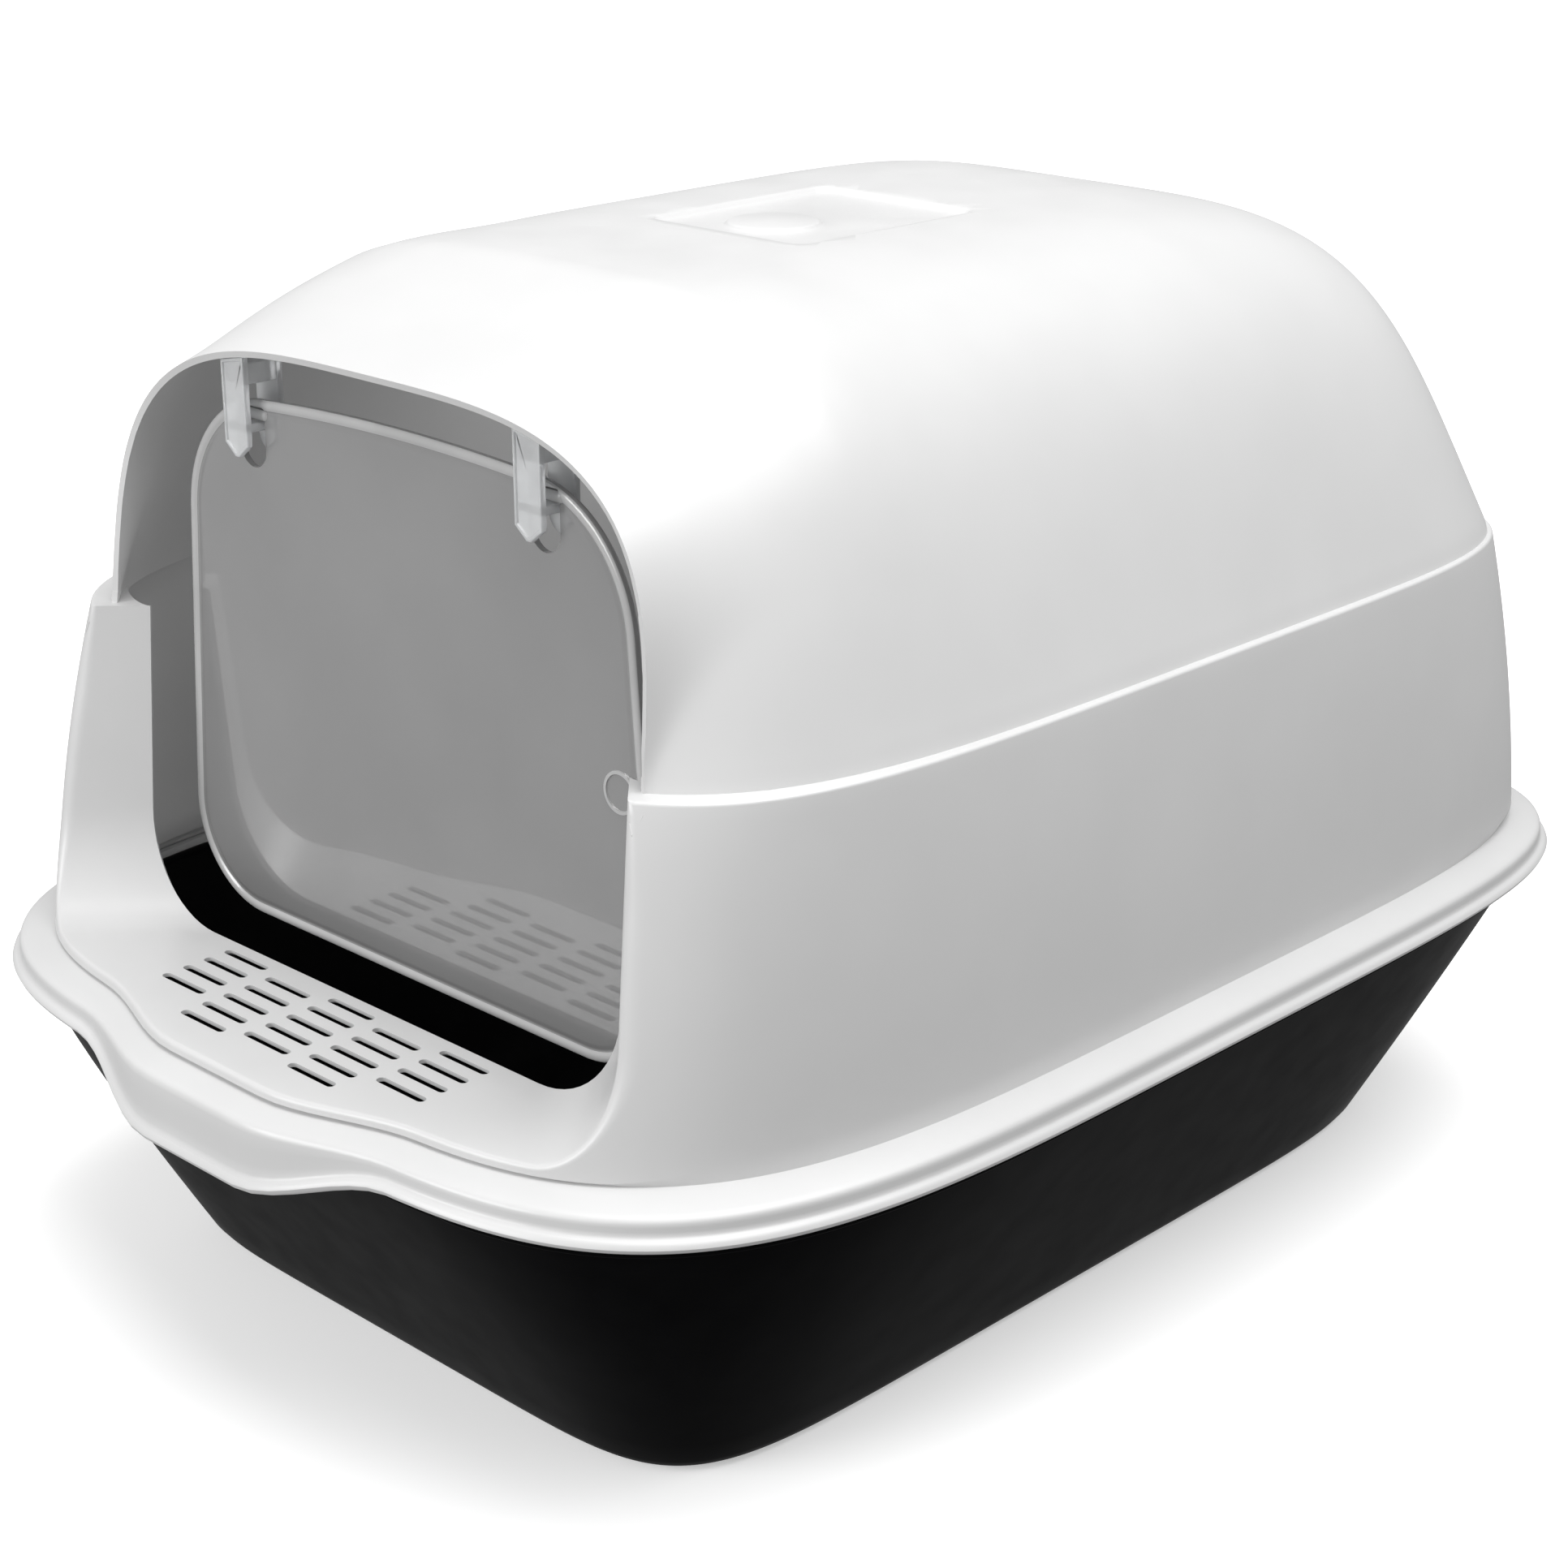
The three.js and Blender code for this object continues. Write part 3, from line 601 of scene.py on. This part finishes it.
def slot_places():
    """The middles of the drain slots: one less in the outer columns, every second column staggered."""
    places = []
    for column in range(SLOT["columns"]):
        from_middle = column - (SLOT["columns"] - 1) / 2
        rows = SLOT["outer_rows"] if abs(from_middle) == 2 else SLOT["rows"]
        shift = 0.5 if abs(from_middle) == 1 else 0
        for row in range(rows):
            y = SLOT["first_y"] - (row + shift) * SLOT["row_pitch"]
            places.append((from_middle * SLOT["column_pitch"], y))
    return places


def shelf_slots(grow, below):
    """Cutters for the drain slots, widened by `grow` and starting `below` the shelf's surface."""
    cutters = bmesh.new()
    end = SLOT["length"] / 2 - SLOT["width"] / 2
    radius = SLOT["width"] / 2 + grow
    for x, y in slot_places():
        ring = np.concatenate([
            arc((x + end, y), radius, -math.pi / 2, math.pi / 2, 9),
            arc((x - end, y), radius, math.pi / 2, 1.5 * math.pi, 9),
        ])
        top_z = SHELF["z"] - SHELF["slope"] * (SHELF["y"] - y) - below
        low = [cutters.verts.new((px, py, SHELF["z"] - SLOT["through"])) for px, py in ring]
        high = [cutters.verts.new((px, py, top_z)) for px, py in ring]
        cutters.faces.new(low[::-1])
        cutters.faces.new(high)
        for i in range(len(ring)):
            n = (i + 1) % len(ring)
            cutters.faces.new((low[i], low[n], high[n], high[i]))
    return object_from(cutters, "slots")


def roof_seat():
    """The thick pad under the roof that takes the panel's depth and seats the filter holder."""
    low = (-HOLDER["half"], HOLDER["front"], ROOF_Z - 0.007)
    high = (HOLDER["half"], HOLDER["rear"], ROOF_Z - SKIN + 0.0006)
    return rounded_block("roof_seat", low, high, 0.0008)


def roof_panel_cutter():
    """The shallow panel pressed into the roof, with soft edges and a round boss left standing in it."""
    low = (-ROOF_PANEL["half"], ROOF_PANEL["front"])
    high = (ROOF_PANEL["half"], ROOF_PANEL["rear"])
    outline = rounded_rectangle(low, high, ROOF_PANEL["corner"])
    depth = ROOF_PANEL["depth"]
    # Inset from the panel's outline, and height above the roof.
    section = [
        (-0.0030, 0.0030), (-0.0022, 0.0003), (-0.0012, -0.0001), (-0.0004, -0.0005),
        (0.0002, -0.0011), (0.0008, -0.0017), (0.0016, -0.0021), (0.0026, -depth),
    ]
    cutter = lofted("panel_cutter", [flat_ring(inset_points(outline, by), ROOF_Z + z) for by, z in section])
    centre = (BOSS["x"], BOSS["y"])
    top = -BOSS["below_roof"]
    rounds = [
        (0.0024, -depth - 0.001), (0.0022, -depth), (0.0010, -depth + 0.0002), (0.0002, -depth + 0.0006),
        (-0.0001, top - 0.0005), (-0.0005, top - 0.0002), (-0.0012, top),
    ]
    count = 64
    last_angle = 2 * math.pi * (count - 1) / count
    rings = [
        flat_ring(arc(centre, BOSS["radius"] + grow, 0, last_angle, count), ROOF_Z + z)
        for grow, z in rounds
    ]
    combine(cutter, [lofted("boss", rings)], "DIFFERENCE")
    return cutter


def make_hood():
    lower = make_lower_hood()
    solidify(lower, SKIN)
    upper = make_upper_hood()
    solidify(upper, SKIN)
    combine(lower, [upper, roof_seat()], "UNION")
    # Wider pockets under the slots leave a thin skin there, so that the slots read dark.
    pockets = shelf_slots(SLOT["pocket_grow"], SLOT["pocket_skin"])
    combine(lower, [shelf_slots(0, -SLOT["above"]), pockets, roof_panel_cutter()], "DIFFERENCE")
    lower.name = "hood_shell"
    shade_by_angle(lower, 38)
    return lower


# ---------------------------------------------------------------- tray

def make_tray():
    """One skin: up the outside, over the flange under the hood's rim, and down the inside."""
    angle = spread_angles(RIM, 0, 2 * math.pi, 281, 0.7)[:-1]
    top_z = RIM_Z - GAP
    top = inset(RIM, TRAY["inset"])

    def side(z, by):
        x, y = along_outline(inset(mix(TRAY_FLOOR, top, z / RIM_Z), by), angle)
        return np.stack([x, y, np.full(len(x), z)], -1)

    def flange(share, drop):
        """A ring on the flange, which is left out under the hood's lip."""
        plain = side(top_z, 0)
        wide = side(top_z, -TRAY["flange"])
        beside_lip = smoothstep(np.abs(plain[:, 0]), LIP["end_half"] + 0.003, LIP["end_half"] + 0.023)
        reach = np.where(plain[:, 1] < 0, beside_lip, 1)
        row = plain + (wide - plain) * (share * reach)[:, None]
        row[:, 2] = top_z - drop
        return row

    # The rounded foot: inset and height.
    foot = [
        (0.0140, 0.0006), (0.0110, 0.0), (0.0056, 0.0), (0.0034, 0.0004), (0.0017, 0.0014), (0.0006, 0.0032),
    ]
    rings = [side(z, by) for by, z in foot]
    rings += [side(z, 0) for z in np.linspace(0.006, top_z - 0.006, 12)]
    # The flange: share of its width, and drop below the tray's top.
    edge = [
        (0.0, 0.0050), (0.12, 0.0042), (0.40, 0.0034), (0.85, 0.0030), (0.96, 0.0026),
        (1.0, 0.0019), (1.0, 0.0011), (0.96, 0.0005), (0.85, 0.0001), (0.6, 0.0),
    ]
    rings += [flange(share, drop) for share, drop in edge]
    wall = TRAY["wall"]
    rings += [side(top_z, wall - 0.0010), side(top_z - 0.0003, wall - 0.0003), side(top_z - 0.0012, wall)]
    rings += [side(z, wall) for z in np.linspace(top_z - 0.004, 0.014, 12)]
    # The rounded bottom inside: height above the floor, and inset from the inner wall.
    bottom = [
        (0.0065, 0.0006), (0.0035, 0.0018), (0.0015, 0.0040), (0.0004, 0.0068), (0.0, 0.0100), (0.0, 0.0140),
    ]
    rings += [side(TRAY["floor"] + rise, wall + by) for rise, by in bottom]
    obj = lofted("tray_shell", rings)
    shade_by_angle(obj, 40)
    return obj


# ---------------------------------------------------------------- door

def door_half(z):
    slope = (DOOR["high_half"] - DOOR["low_half"]) / (DOOR["high_z"] - DOOR["low_z"])
    return DOOR["low_half"] + slope * (z - DOOR["low_z"])


def door_outline():
    low, high = DOOR["bottom_corner"], DOOR["top_corner"]
    low_z = DOOR["bottom_z"] + low
    high_z = DOOR["top_z"] - high
    low_x = door_half(low_z) - low
    high_x = door_half(high_z) - high
    tilt = math.atan((DOOR["low_half"] - DOOR["high_half"]) / (DOOR["high_z"] - DOOR["low_z"]))
    bottom = np.stack([np.linspace(0, low_x, 16)[:-1], np.full(15, DOOR["bottom_z"])], -1)
    turn_low = arc((low_x, low_z), low, -math.pi / 2, tilt, 26)
    turn_high = arc((high_x, high_z), high, tilt, math.pi / 2, 30)
    side = turn_low[-1] + (turn_high[0] - turn_low[-1]) * np.linspace(0, 1, 20)[1:-1, None]
    across = np.linspace(high_x, 0, 20)[1:]
    top = np.stack([across, DOOR["top_z"] + DOOR["crown"] * (1 - (across / high_x) ** 2)], -1)
    half = np.concatenate([bottom, turn_low, side, turn_high, top])
    other = half[1:-1][::-1] * np.array([-1, 1])
    return np.concatenate([half, other])


def capsule_along_x(name, x0, x1, y, z, radius):
    turn = np.linspace(0, 2 * math.pi, 25)[:-1]
    cap = [(math.sin(a), math.cos(a)) for a in np.linspace(0, math.pi * 0.46, 6)]
    rings = []
    for x, way, profile in ((x0, -1, cap[::-1]), (x1, 1, cap)):
        for out, across in profile:
            r = radius * across
            flat = np.full(len(turn), x + way * (out - 1) * radius)
            rings.append(np.stack([flat, y + r * np.cos(turn), z + r * np.sin(turn)], -1))
    return lofted(name, rings)


def door_ring():
    """The small round ridge moulded near the door's right edge."""
    face = DOOR["y"] - DOOR["half_thick"]
    root, crest = face + RING["root"], face - RING["proud"]
    width = RING["half_width"]
    turn = np.linspace(0, 2 * math.pi, 41)[:-1]
    bm = bmesh.new()
    loops = []
    for out, y in ((-width, root), (-width * 0.6, crest), (width * 0.6, crest), (width, root)):
        r = RING["radius"] + out
        points = [(RING["x"] + r * math.cos(a), y, RING["z"] + r * math.sin(a)) for a in turn]
        loops.append([bm.verts.new(point) for point in points])
    for k, loop in enumerate(loops):
        after = loops[(k + 1) % len(loops)]
        for i in range(len(turn)):
            n = (i + 1) % len(turn)
            bm.faces.new((loop[i], loop[n], after[n], after[i]))
    obj = object_from(bm, "door_ring")
    face_outwards(obj)
    return obj


def door_window(x):
    """A cutter with a round foot, wide enough for the hanger's legs to swing through."""
    half, corner, top = WINDOW["half"], WINDOW["corner"], WINDOW["top_z"]
    quarter = math.pi / 2
    outline = np.concatenate([
        arc((x, WINDOW["bottom_z"] + half), half, 2 * quarter, 4 * quarter, 17),
        arc((x + half - corner, top - corner), corner, 0, quarter, 5),
        arc((x - half + corner, top - corner), corner, quarter, 2 * quarter, 5),
    ])
    return upright_plate("window", outline, [(0, DOOR["y"] - 0.01), (0, DOOR["y"] + 0.01)])


def make_door():
    # Half the section, from the flat middle out over the rounded bead: inset and half thickness.
    bead = [
        (0.0085, DOOR["half_thick"]), (0.0066, DOOR["half_thick"]), (0.0058, 0.00115), (0.0050, 0.00092),
        (0.0044, 0.00085), (0.0038, 0.00103), (0.0032, 0.00140), (0.0025, 0.00168), (0.0018, 0.00175),
        (0.0011, 0.00168), (0.0005, 0.00140), (0.00015, 0.00100), (0.0, 0.00050),
    ]
    front = [(by, DOOR["y"] - thick) for by, thick in bead]
    rear = [(by, DOOR["y"] + thick) for by, thick in bead[::-1]]
    door = upright_plate("door_panel", door_outline(), front + rear)
    pin_reach = WINDOW["half"] + PIN["root"]
    for x in (-HANGER["x"], HANGER["x"]):
        combine(door, [door_window(x)], "DIFFERENCE")
        pin = capsule_along_x("pin", x - pin_reach, x + pin_reach, DOOR["y"], PIN["z"], PIN["radius"])
        combine(door, [pin], "UNION")
    combine(door, [door_ring()], "UNION")
    shade_by_angle(door, 30)
    return door


# ---------------------------------------------------------------- hangers

def roof_over(x, y):
    """The height of the collar's outer surface over a point."""
    return float(last_inside(lambda z: outside_collar(np.array([x, y, z])) > 0, RIDGE_Z, ROOF_Z + 0.01))


def leg_outline(x, y, pointed):
    half = HANGER["half"]
    tip_z = HANGER["tip_z"]
    if pointed:
        shoulder_z, point_z, point_half = tip_z + HANGER["tip"], tip_z + 0.0005, half * 0.15
        foot = np.array([
            (x - half, shoulder_z), (x - point_half, point_z),
            (x + point_half, point_z), (x + half, shoulder_z),
        ])
    else:
        foot = arc((x, tip_z + half), half, math.pi, 2 * math.pi, 15)
    right = np.array([(x + half, tip_z + rise) for rise in (0.012, 0.022)])
    left = right[::-1] - np.array([2 * half, 0])
    roof_gap = SKIN + GAP + 0.0004
    top = np.array([(a, roof_over(a, y) - roof_gap) for a in np.linspace(x + half, x - half, 9)])
    return np.concatenate([foot, right, top, left])


def make_hanger(name, x):
    """A fork under the roof: a pointed rimmed front leg, a round rear leg, a bridge and a cradle."""
    front = DOOR["y"] - HANGER["gap"] - HANGER["plate"]
    rear = DOOR["y"] + HANGER["gap"]
    rim, pocket, plate = HANGER["rim"], HANGER["pocket"], HANGER["plate"]
    rimmed = [(rim + 0.0004, pocket), (rim, pocket - 0.0001), (rim - 0.0003, 0.0001), (rim - 0.0006, 0.0)]
    edge = [(0.0005, 0.0), (0.00015, 0.00015), (0.0, 0.0005)]
    back = [(0.0, plate - 0.0005), (0.00015, plate - 0.00015), (0.0005, plate)]
    front_section = [(by, front + y) for by, y in rimmed + edge + back]
    rear_section = [(by, rear + y) for by, y in edge + back]
    leg = upright_plate(name, leg_outline(x, front, True), front_section)
    rear_leg = upright_plate("rear_leg", leg_outline(x, front + plate, False), rear_section)
    half = HANGER["half"]
    block_half = half - 0.0008
    block_front = front + 0.0012
    crown = min(roof_over(x - half, front), roof_over(x + half, front)) - SKIN - 0.0008
    bridge_low = (x - block_half, block_front, HANGER["bridge_z"])
    bridge_high = (x + block_half, rear + 0.0012, crown)
    cradle_low = (x - block_half, block_front, HANGER["cradle_z"])
    cradle_high = (x + block_half, rear - HANGER["snap_gap"], PIN["z"] - PIN["radius"] - GAP)
    bridge = rounded_block("bridge", bridge_low, bridge_high, HANGER["block_edge"])
    cradle = rounded_block("cradle", cradle_low, cradle_high, HANGER["block_edge"])
    combine(leg, [rear_leg, bridge, cradle], "UNION")
    shade_by_angle(leg, 32)
    return leg


# ---------------------------------------------------------------- filter

def make_filter_holder():
    """An open frame with bars along its bottom and a finger tab in front."""
    low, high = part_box("filter_holder")
    half, wall, front, rear = HOLDER["half"], HOLDER["wall"], HOLDER["front"], HOLDER["rear"]
    holder = rounded_block("filter_frame", (-half, front, low.z), (half, rear, high.z), 0.0009)
    room_low = (-half + wall, front + wall, low.z - 0.004)
    room_high = (half - wall, rear - wall, high.z + 0.004)
    combine(holder, [rounded_block("room", room_low, room_high, 0.0018)], "DIFFERENCE")
    bottom = low.z + HOLDER["lift"]
    root = 0.001
    parts = []
    for i in range(1, HOLDER["bars"] + 1):
        x = -half + wall + 2 * (half - wall) * i / (HOLDER["bars"] + 1)
        bar_low = (x - HOLDER["bar"] / 2, front + root, bottom)
        bar_high = (x + HOLDER["bar"] / 2, rear - root, low.z + HOLDER["bar_thick"])
        parts.append(rounded_block("bar", bar_low, bar_high, 0.0006))
    tab_low = (-HOLDER["tab"], low.y, bottom)
    tab_high = (HOLDER["tab"], front + root, low.z + HOLDER["tab_thick"])
    parts.append(rounded_block("tab", tab_low, tab_high, 0.001))
    combine(holder, parts, "UNION")
    shade_by_angle(holder, 35)
    return holder


def make_carbon_pad():
    """A felted pad: a rounded block whose faces stand up a little here and there."""
    low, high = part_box("carbon_filter")
    pad = rounded_block("carbon_pad", low, high, 0.0016)
    bm = bmesh.new()
    bm.from_mesh(pad.data)
    bmesh.ops.triangulate(bm, faces=[f for f in bm.faces if len(f.verts) > 4])
    long_edges = [e for e in bm.edges if e.calc_length() > 0.02]
    bmesh.ops.subdivide_edges(bm, edges=long_edges, cuts=24, use_grid_fill=True)
    for v in bm.verts:
        wave = noise.noise(v.co * 220) + 0.6 * noise.noise(v.co * 610)
        v.co -= v.normal * 0.0003 * (1 + wave)
    bm.to_mesh(pad.data)
    bm.free()
    shade_by_angle(pad, 60)
    return pad


# ---------------------------------------------------------------- camera, lights, floor

def set_camera():
    azimuth, elevation, distance = math.radians(44.1), math.radians(20.7), 1.198
    target = Vector((-0.0026, 0.0002, 0.165))
    back = Vector((
        math.sin(azimuth) * math.cos(elevation),
        -math.cos(azimuth) * math.cos(elevation),
        math.sin(elevation),
    ))
    data = bpy.data.cameras.new("camera")
    data.sensor_width = 36
    data.lens = 69.7
    camera = linked("camera", data)
    camera.location = target + back * distance
    camera.rotation_euler = back.to_track_quat("Z", "Y").to_euler()
    bpy.context.scene.camera = camera


def area_light(name, place, aim, size, power):
    data = bpy.data.lights.new(name, "AREA")
    data.shape = "RECTANGLE"
    data.size, data.size_y = size
    data.energy = power
    light = linked(name, data)
    light.location = place
    light.rotation_euler = (Vector(place) - Vector(aim)).to_track_quat("Z", "Y").to_euler()


def unseen_glow(name, place, radius, power):
    data = bpy.data.lights.new(name, "POINT")
    data.shadow_soft_size = radius
    data.energy = power
    light = linked(name, data)
    light.location = place
    light.visible_camera = False
    light.visible_glossy = False
    light.visible_transmission = False


def set_lights():
    bpy.context.scene.view_settings.view_transform = "Standard"
    world = bpy.data.worlds.new("studio")
    world.use_nodes = True
    background = world.node_tree.nodes["Background"]
    background.inputs["Color"].default_value = (1, 1, 1, 1)
    background.inputs["Strength"].default_value = 0.42
    bpy.context.scene.world = world
    area_light("overhead", (0.6, 0.0, 2.15), (0, 0, 0.2), (2.0, 2.0), 57)
    area_light("front", (-0.6, -2.2, 0.9), (0, -0.1, 0.25), (1.2, 1.0), 28)
    # The light that a real hood's thin white walls let through into the cabin.
    unseen_glow("cabin_glow", (0, 0.05, 0.25), 0.06, 0.5)


def floor_material():
    """Pale grey that glows away from the object, so that it is white to the horizon from every side."""
    material = bpy.data.materials.new("floor")
    material.use_nodes = True
    nodes, links = material.node_tree.nodes, material.node_tree.links
    shader = nodes["Principled BSDF"]
    shader.inputs["Base Color"].default_value = (0.82, 0.82, 0.82, 1)
    shader.inputs["Roughness"].default_value = 0.9
    shader.inputs["Emission Color"].default_value = (1, 1, 1, 1)
    distance = nodes.new("ShaderNodeVectorMath")
    distance.operation = "LENGTH"
    links.new(nodes.new("ShaderNodeTexCoord").outputs["Object"], distance.inputs[0])
    glow = nodes.new("ShaderNodeMapRange")
    glow.interpolation_type = "SMOOTHSTEP"
    glow.inputs["From Min"].default_value = 0.2
    glow.inputs["From Max"].default_value = 1.2
    glow.inputs["To Min"].default_value = 0.42
    glow.inputs["To Max"].default_value = 0.8
    links.new(distance.outputs["Value"], glow.inputs["Value"])
    links.new(glow.outputs["Result"], shader.inputs["Emission Strength"])
    return material


def make_floor():
    """The floor takes the object's shadow but throws no light back up on it."""
    reach = 20
    corners = [(-reach, -reach, 0), (reach, -reach, 0), (reach, reach, 0), (-reach, reach, 0)]
    floor = new_object("floor", corners, [(0, 1, 2, 3)], smooth=False)
    floor.data.materials.append(floor_material())
    floor.visible_diffuse = False
    floor.visible_glossy = False


# ---------------------------------------------------------------- materials

class Shader:
    """A Principled material whose nodes are added one by one."""

    def __init__(self, name):
        self.material = bpy.data.materials.new(name)
        self.material.use_nodes = True
        self.nodes = self.material.node_tree.nodes
        self.links = self.material.node_tree.links
        self.main = self.nodes["Principled BSDF"]
        self.place = self.nodes.new("ShaderNodeTexCoord").outputs["Object"]

    def fix(self, **values):
        for name, value in values.items():
            self.main.inputs[name.replace("_", " ")].default_value = value

    def noise(self, scale, detail=2.0, roughness=0.5, stretch=None):
        node = self.nodes.new("ShaderNodeTexNoise")
        node.inputs["Scale"].default_value = scale
        node.inputs["Detail"].default_value = detail
        node.inputs["Roughness"].default_value = roughness
        place = self.place
        if stretch:
            mapping = self.nodes.new("ShaderNodeMapping")
            mapping.inputs["Scale"].default_value = stretch
            self.links.new(place, mapping.inputs["Vector"])
            place = mapping.outputs["Vector"]
        self.links.new(place, node.inputs["Vector"])
        return node.outputs["Fac"]

    def colour(self, factor, low, high, start=0.35, end=0.65):
        ramp = self.nodes.new("ShaderNodeValToRGB")
        ramp.color_ramp.elements[0].position = start
        ramp.color_ramp.elements[1].position = end
        ramp.color_ramp.elements[0].color = (*low, 1)
        ramp.color_ramp.elements[1].color = (*high, 1)
        self.links.new(factor, ramp.inputs["Fac"])
        self.links.new(ramp.outputs["Color"], self.main.inputs["Base Color"])

    def roughness(self, factor, low, high):
        span = self.nodes.new("ShaderNodeMapRange")
        span.inputs["From Min"].default_value = 0.3
        span.inputs["From Max"].default_value = 0.7
        span.inputs["To Min"].default_value = low
        span.inputs["To Max"].default_value = high
        self.links.new(factor, span.inputs["Value"])
        self.links.new(span.outputs["Result"], self.main.inputs["Roughness"])

    def bump(self, heights):
        """heights: (factor, depth in metres) pairs, each laid over the one before."""
        normal = None
        for factor, depth in heights:
            node = self.nodes.new("ShaderNodeBump")
            node.inputs["Distance"].default_value = depth
            node.inputs["Strength"].default_value = 1
            self.links.new(factor, node.inputs["Height"])
            if normal:
                self.links.new(normal, node.inputs["Normal"])
            normal = node.outputs["Normal"]
        self.links.new(normal, self.main.inputs["Normal"])


def hood_plastic():
    """Satin white moulded plastic: a fine spark-eroded grain and a faint flow mottling."""
    shader = Shader("hood_white")
    shader.colour(shader.noise(14, 3), (0.60, 0.60, 0.60), (0.62, 0.62, 0.62))
    shader.roughness(shader.noise(38, 4), 0.30, 0.40)
    shader.bump([(shader.noise(9, 2), 0.00012), (shader.noise(1500, 2), 0.000010)])
    shader.fix(IOR=1.49)
    return shader.material


def tray_plastic():
    """Near-black plastic with a fine leathery grain."""
    shader = Shader("tray_black")
    shader.colour(shader.noise(22, 5, 0.6), (0.0025, 0.0025, 0.0028), (0.0045, 0.0045, 0.0048))
    shader.roughness(shader.noise(60, 5), 0.30, 0.36)
    shader.bump([(shader.noise(7, 1), 0.00008), (shader.noise(1100, 3), 0.000012)])
    shader.fix(IOR=1.06)
    return shader.material


def door_plastic():
    """Smoked see-through plastic, polished outside and cloudy inside."""
    shader = Shader("door_smoke")
    shader.colour(shader.noise(11, 3), (0.34, 0.34, 0.34), (0.37, 0.37, 0.37))
    shader.roughness(shader.noise(45, 4), 0.16, 0.24)
    shader.bump([(shader.noise(16, 2), 0.00006)])
    shader.fix(IOR=1.49, Transmission_Weight=0.35)
    shader.fix(Coat_Weight=1.0, Coat_Roughness=0.03, Coat_IOR=1.9)
    return shader.material


def painted_highlight_plastic():
    """The door's thicker bead and ring in a lighter, milky grey than the panel: a painted highlight along the
    edges that stand proud.
    """
    shader = Shader("door_bead_painted_highlight")
    # Painted highlight: this grey is much lighter than the door panel's own.
    shader.colour(shader.noise(30, 3), (0.58, 0.58, 0.58), (0.64, 0.64, 0.64))
    shader.roughness(shader.noise(45, 4), 0.16, 0.24)
    shader.bump([(shader.noise(40, 2), 0.00003)])
    shader.fix(IOR=1.49, Transmission_Weight=0.25, Coat_Weight=0.6, Coat_Roughness=0.05)
    return shader.material


def hanger_plastic():
    """Milky clear plastic."""
    shader = Shader("hanger_clear")
    shader.colour(shader.noise(60, 3), (0.82, 0.83, 0.84), (0.88, 0.89, 0.90))
    shader.roughness(shader.noise(120, 3), 0.14, 0.24)
    shader.bump([(shader.noise(90, 2), 0.00003)])
    shader.fix(IOR=1.49, Transmission_Weight=0.55)
    return shader.material


def holder_plastic():
    """Plain matt white plastic."""
    shader = Shader("holder_white")
    shader.colour(shader.noise(25, 3), (0.74, 0.74, 0.74), (0.78, 0.78, 0.78))
    shader.roughness(shader.noise(70, 4), 0.38, 0.50)
    shader.bump([(shader.noise(900, 3), 0.00002)])
    return shader.material


def carbon_felt():
    """Matted dark fibres with carbon dust between them."""
    shader = Shader("filter_carbon")
    fibres = shader.noise(700, 6, 0.7, (1.0, 0.25, 1.0))
    shader.colour(fibres, (0.006, 0.006, 0.006), (0.045, 0.045, 0.045), 0.3, 0.75)
    shader.roughness(shader.noise(300, 3), 0.85, 1.0)
    shader.bump([(fibres, 0.0004)])
    return shader.material


# ---------------------------------------------------------------- assembly

def place(piece, body, node, slot, material):
    piece.data.materials.clear()
    piece.data.materials.append(material)
    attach(piece, body)
    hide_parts(node)


def paint_bead_highlight(door):
    """Gives the door's bead, pins and ring, which stand proud of its panel, their own lighter material: a
    painted highlight.
    """
    door.data.materials.append(painted_highlight_plastic())
    heights = [abs(vertex.co.y - DOOR["y"]) for vertex in door.data.vertices]
    for polygon in door.data.polygons:
        proud = max(heights[i] for i in polygon.vertices)
        polygon.material_index = 1 if proud > DOOR["half_thick"] + 0.00005 else 0


set_camera()
set_lights()
make_floor()
place(make_hood(), "hood", "hood", "hood_white", hood_plastic())
place(make_tray(), "tray", "tray", "tray_black", tray_plastic())
door = make_door()
place(door, "door", "door_flap", "door_smoke", door_plastic())
paint_bead_highlight(door)
clear = hanger_plastic()
place(make_hanger("hanger_fork_left", -HANGER["x"]), "hood", "hanger_left", "hanger_clear", clear)
place(make_hanger("hanger_fork_right", HANGER["x"]), "hood", "hanger_right", "hanger_clear", clear)
place(make_filter_holder(), "filter", "filter_holder", "holder_white", holder_plastic())
place(make_carbon_pad(), "filter", "carbon_filter", "filter_carbon", carbon_felt())
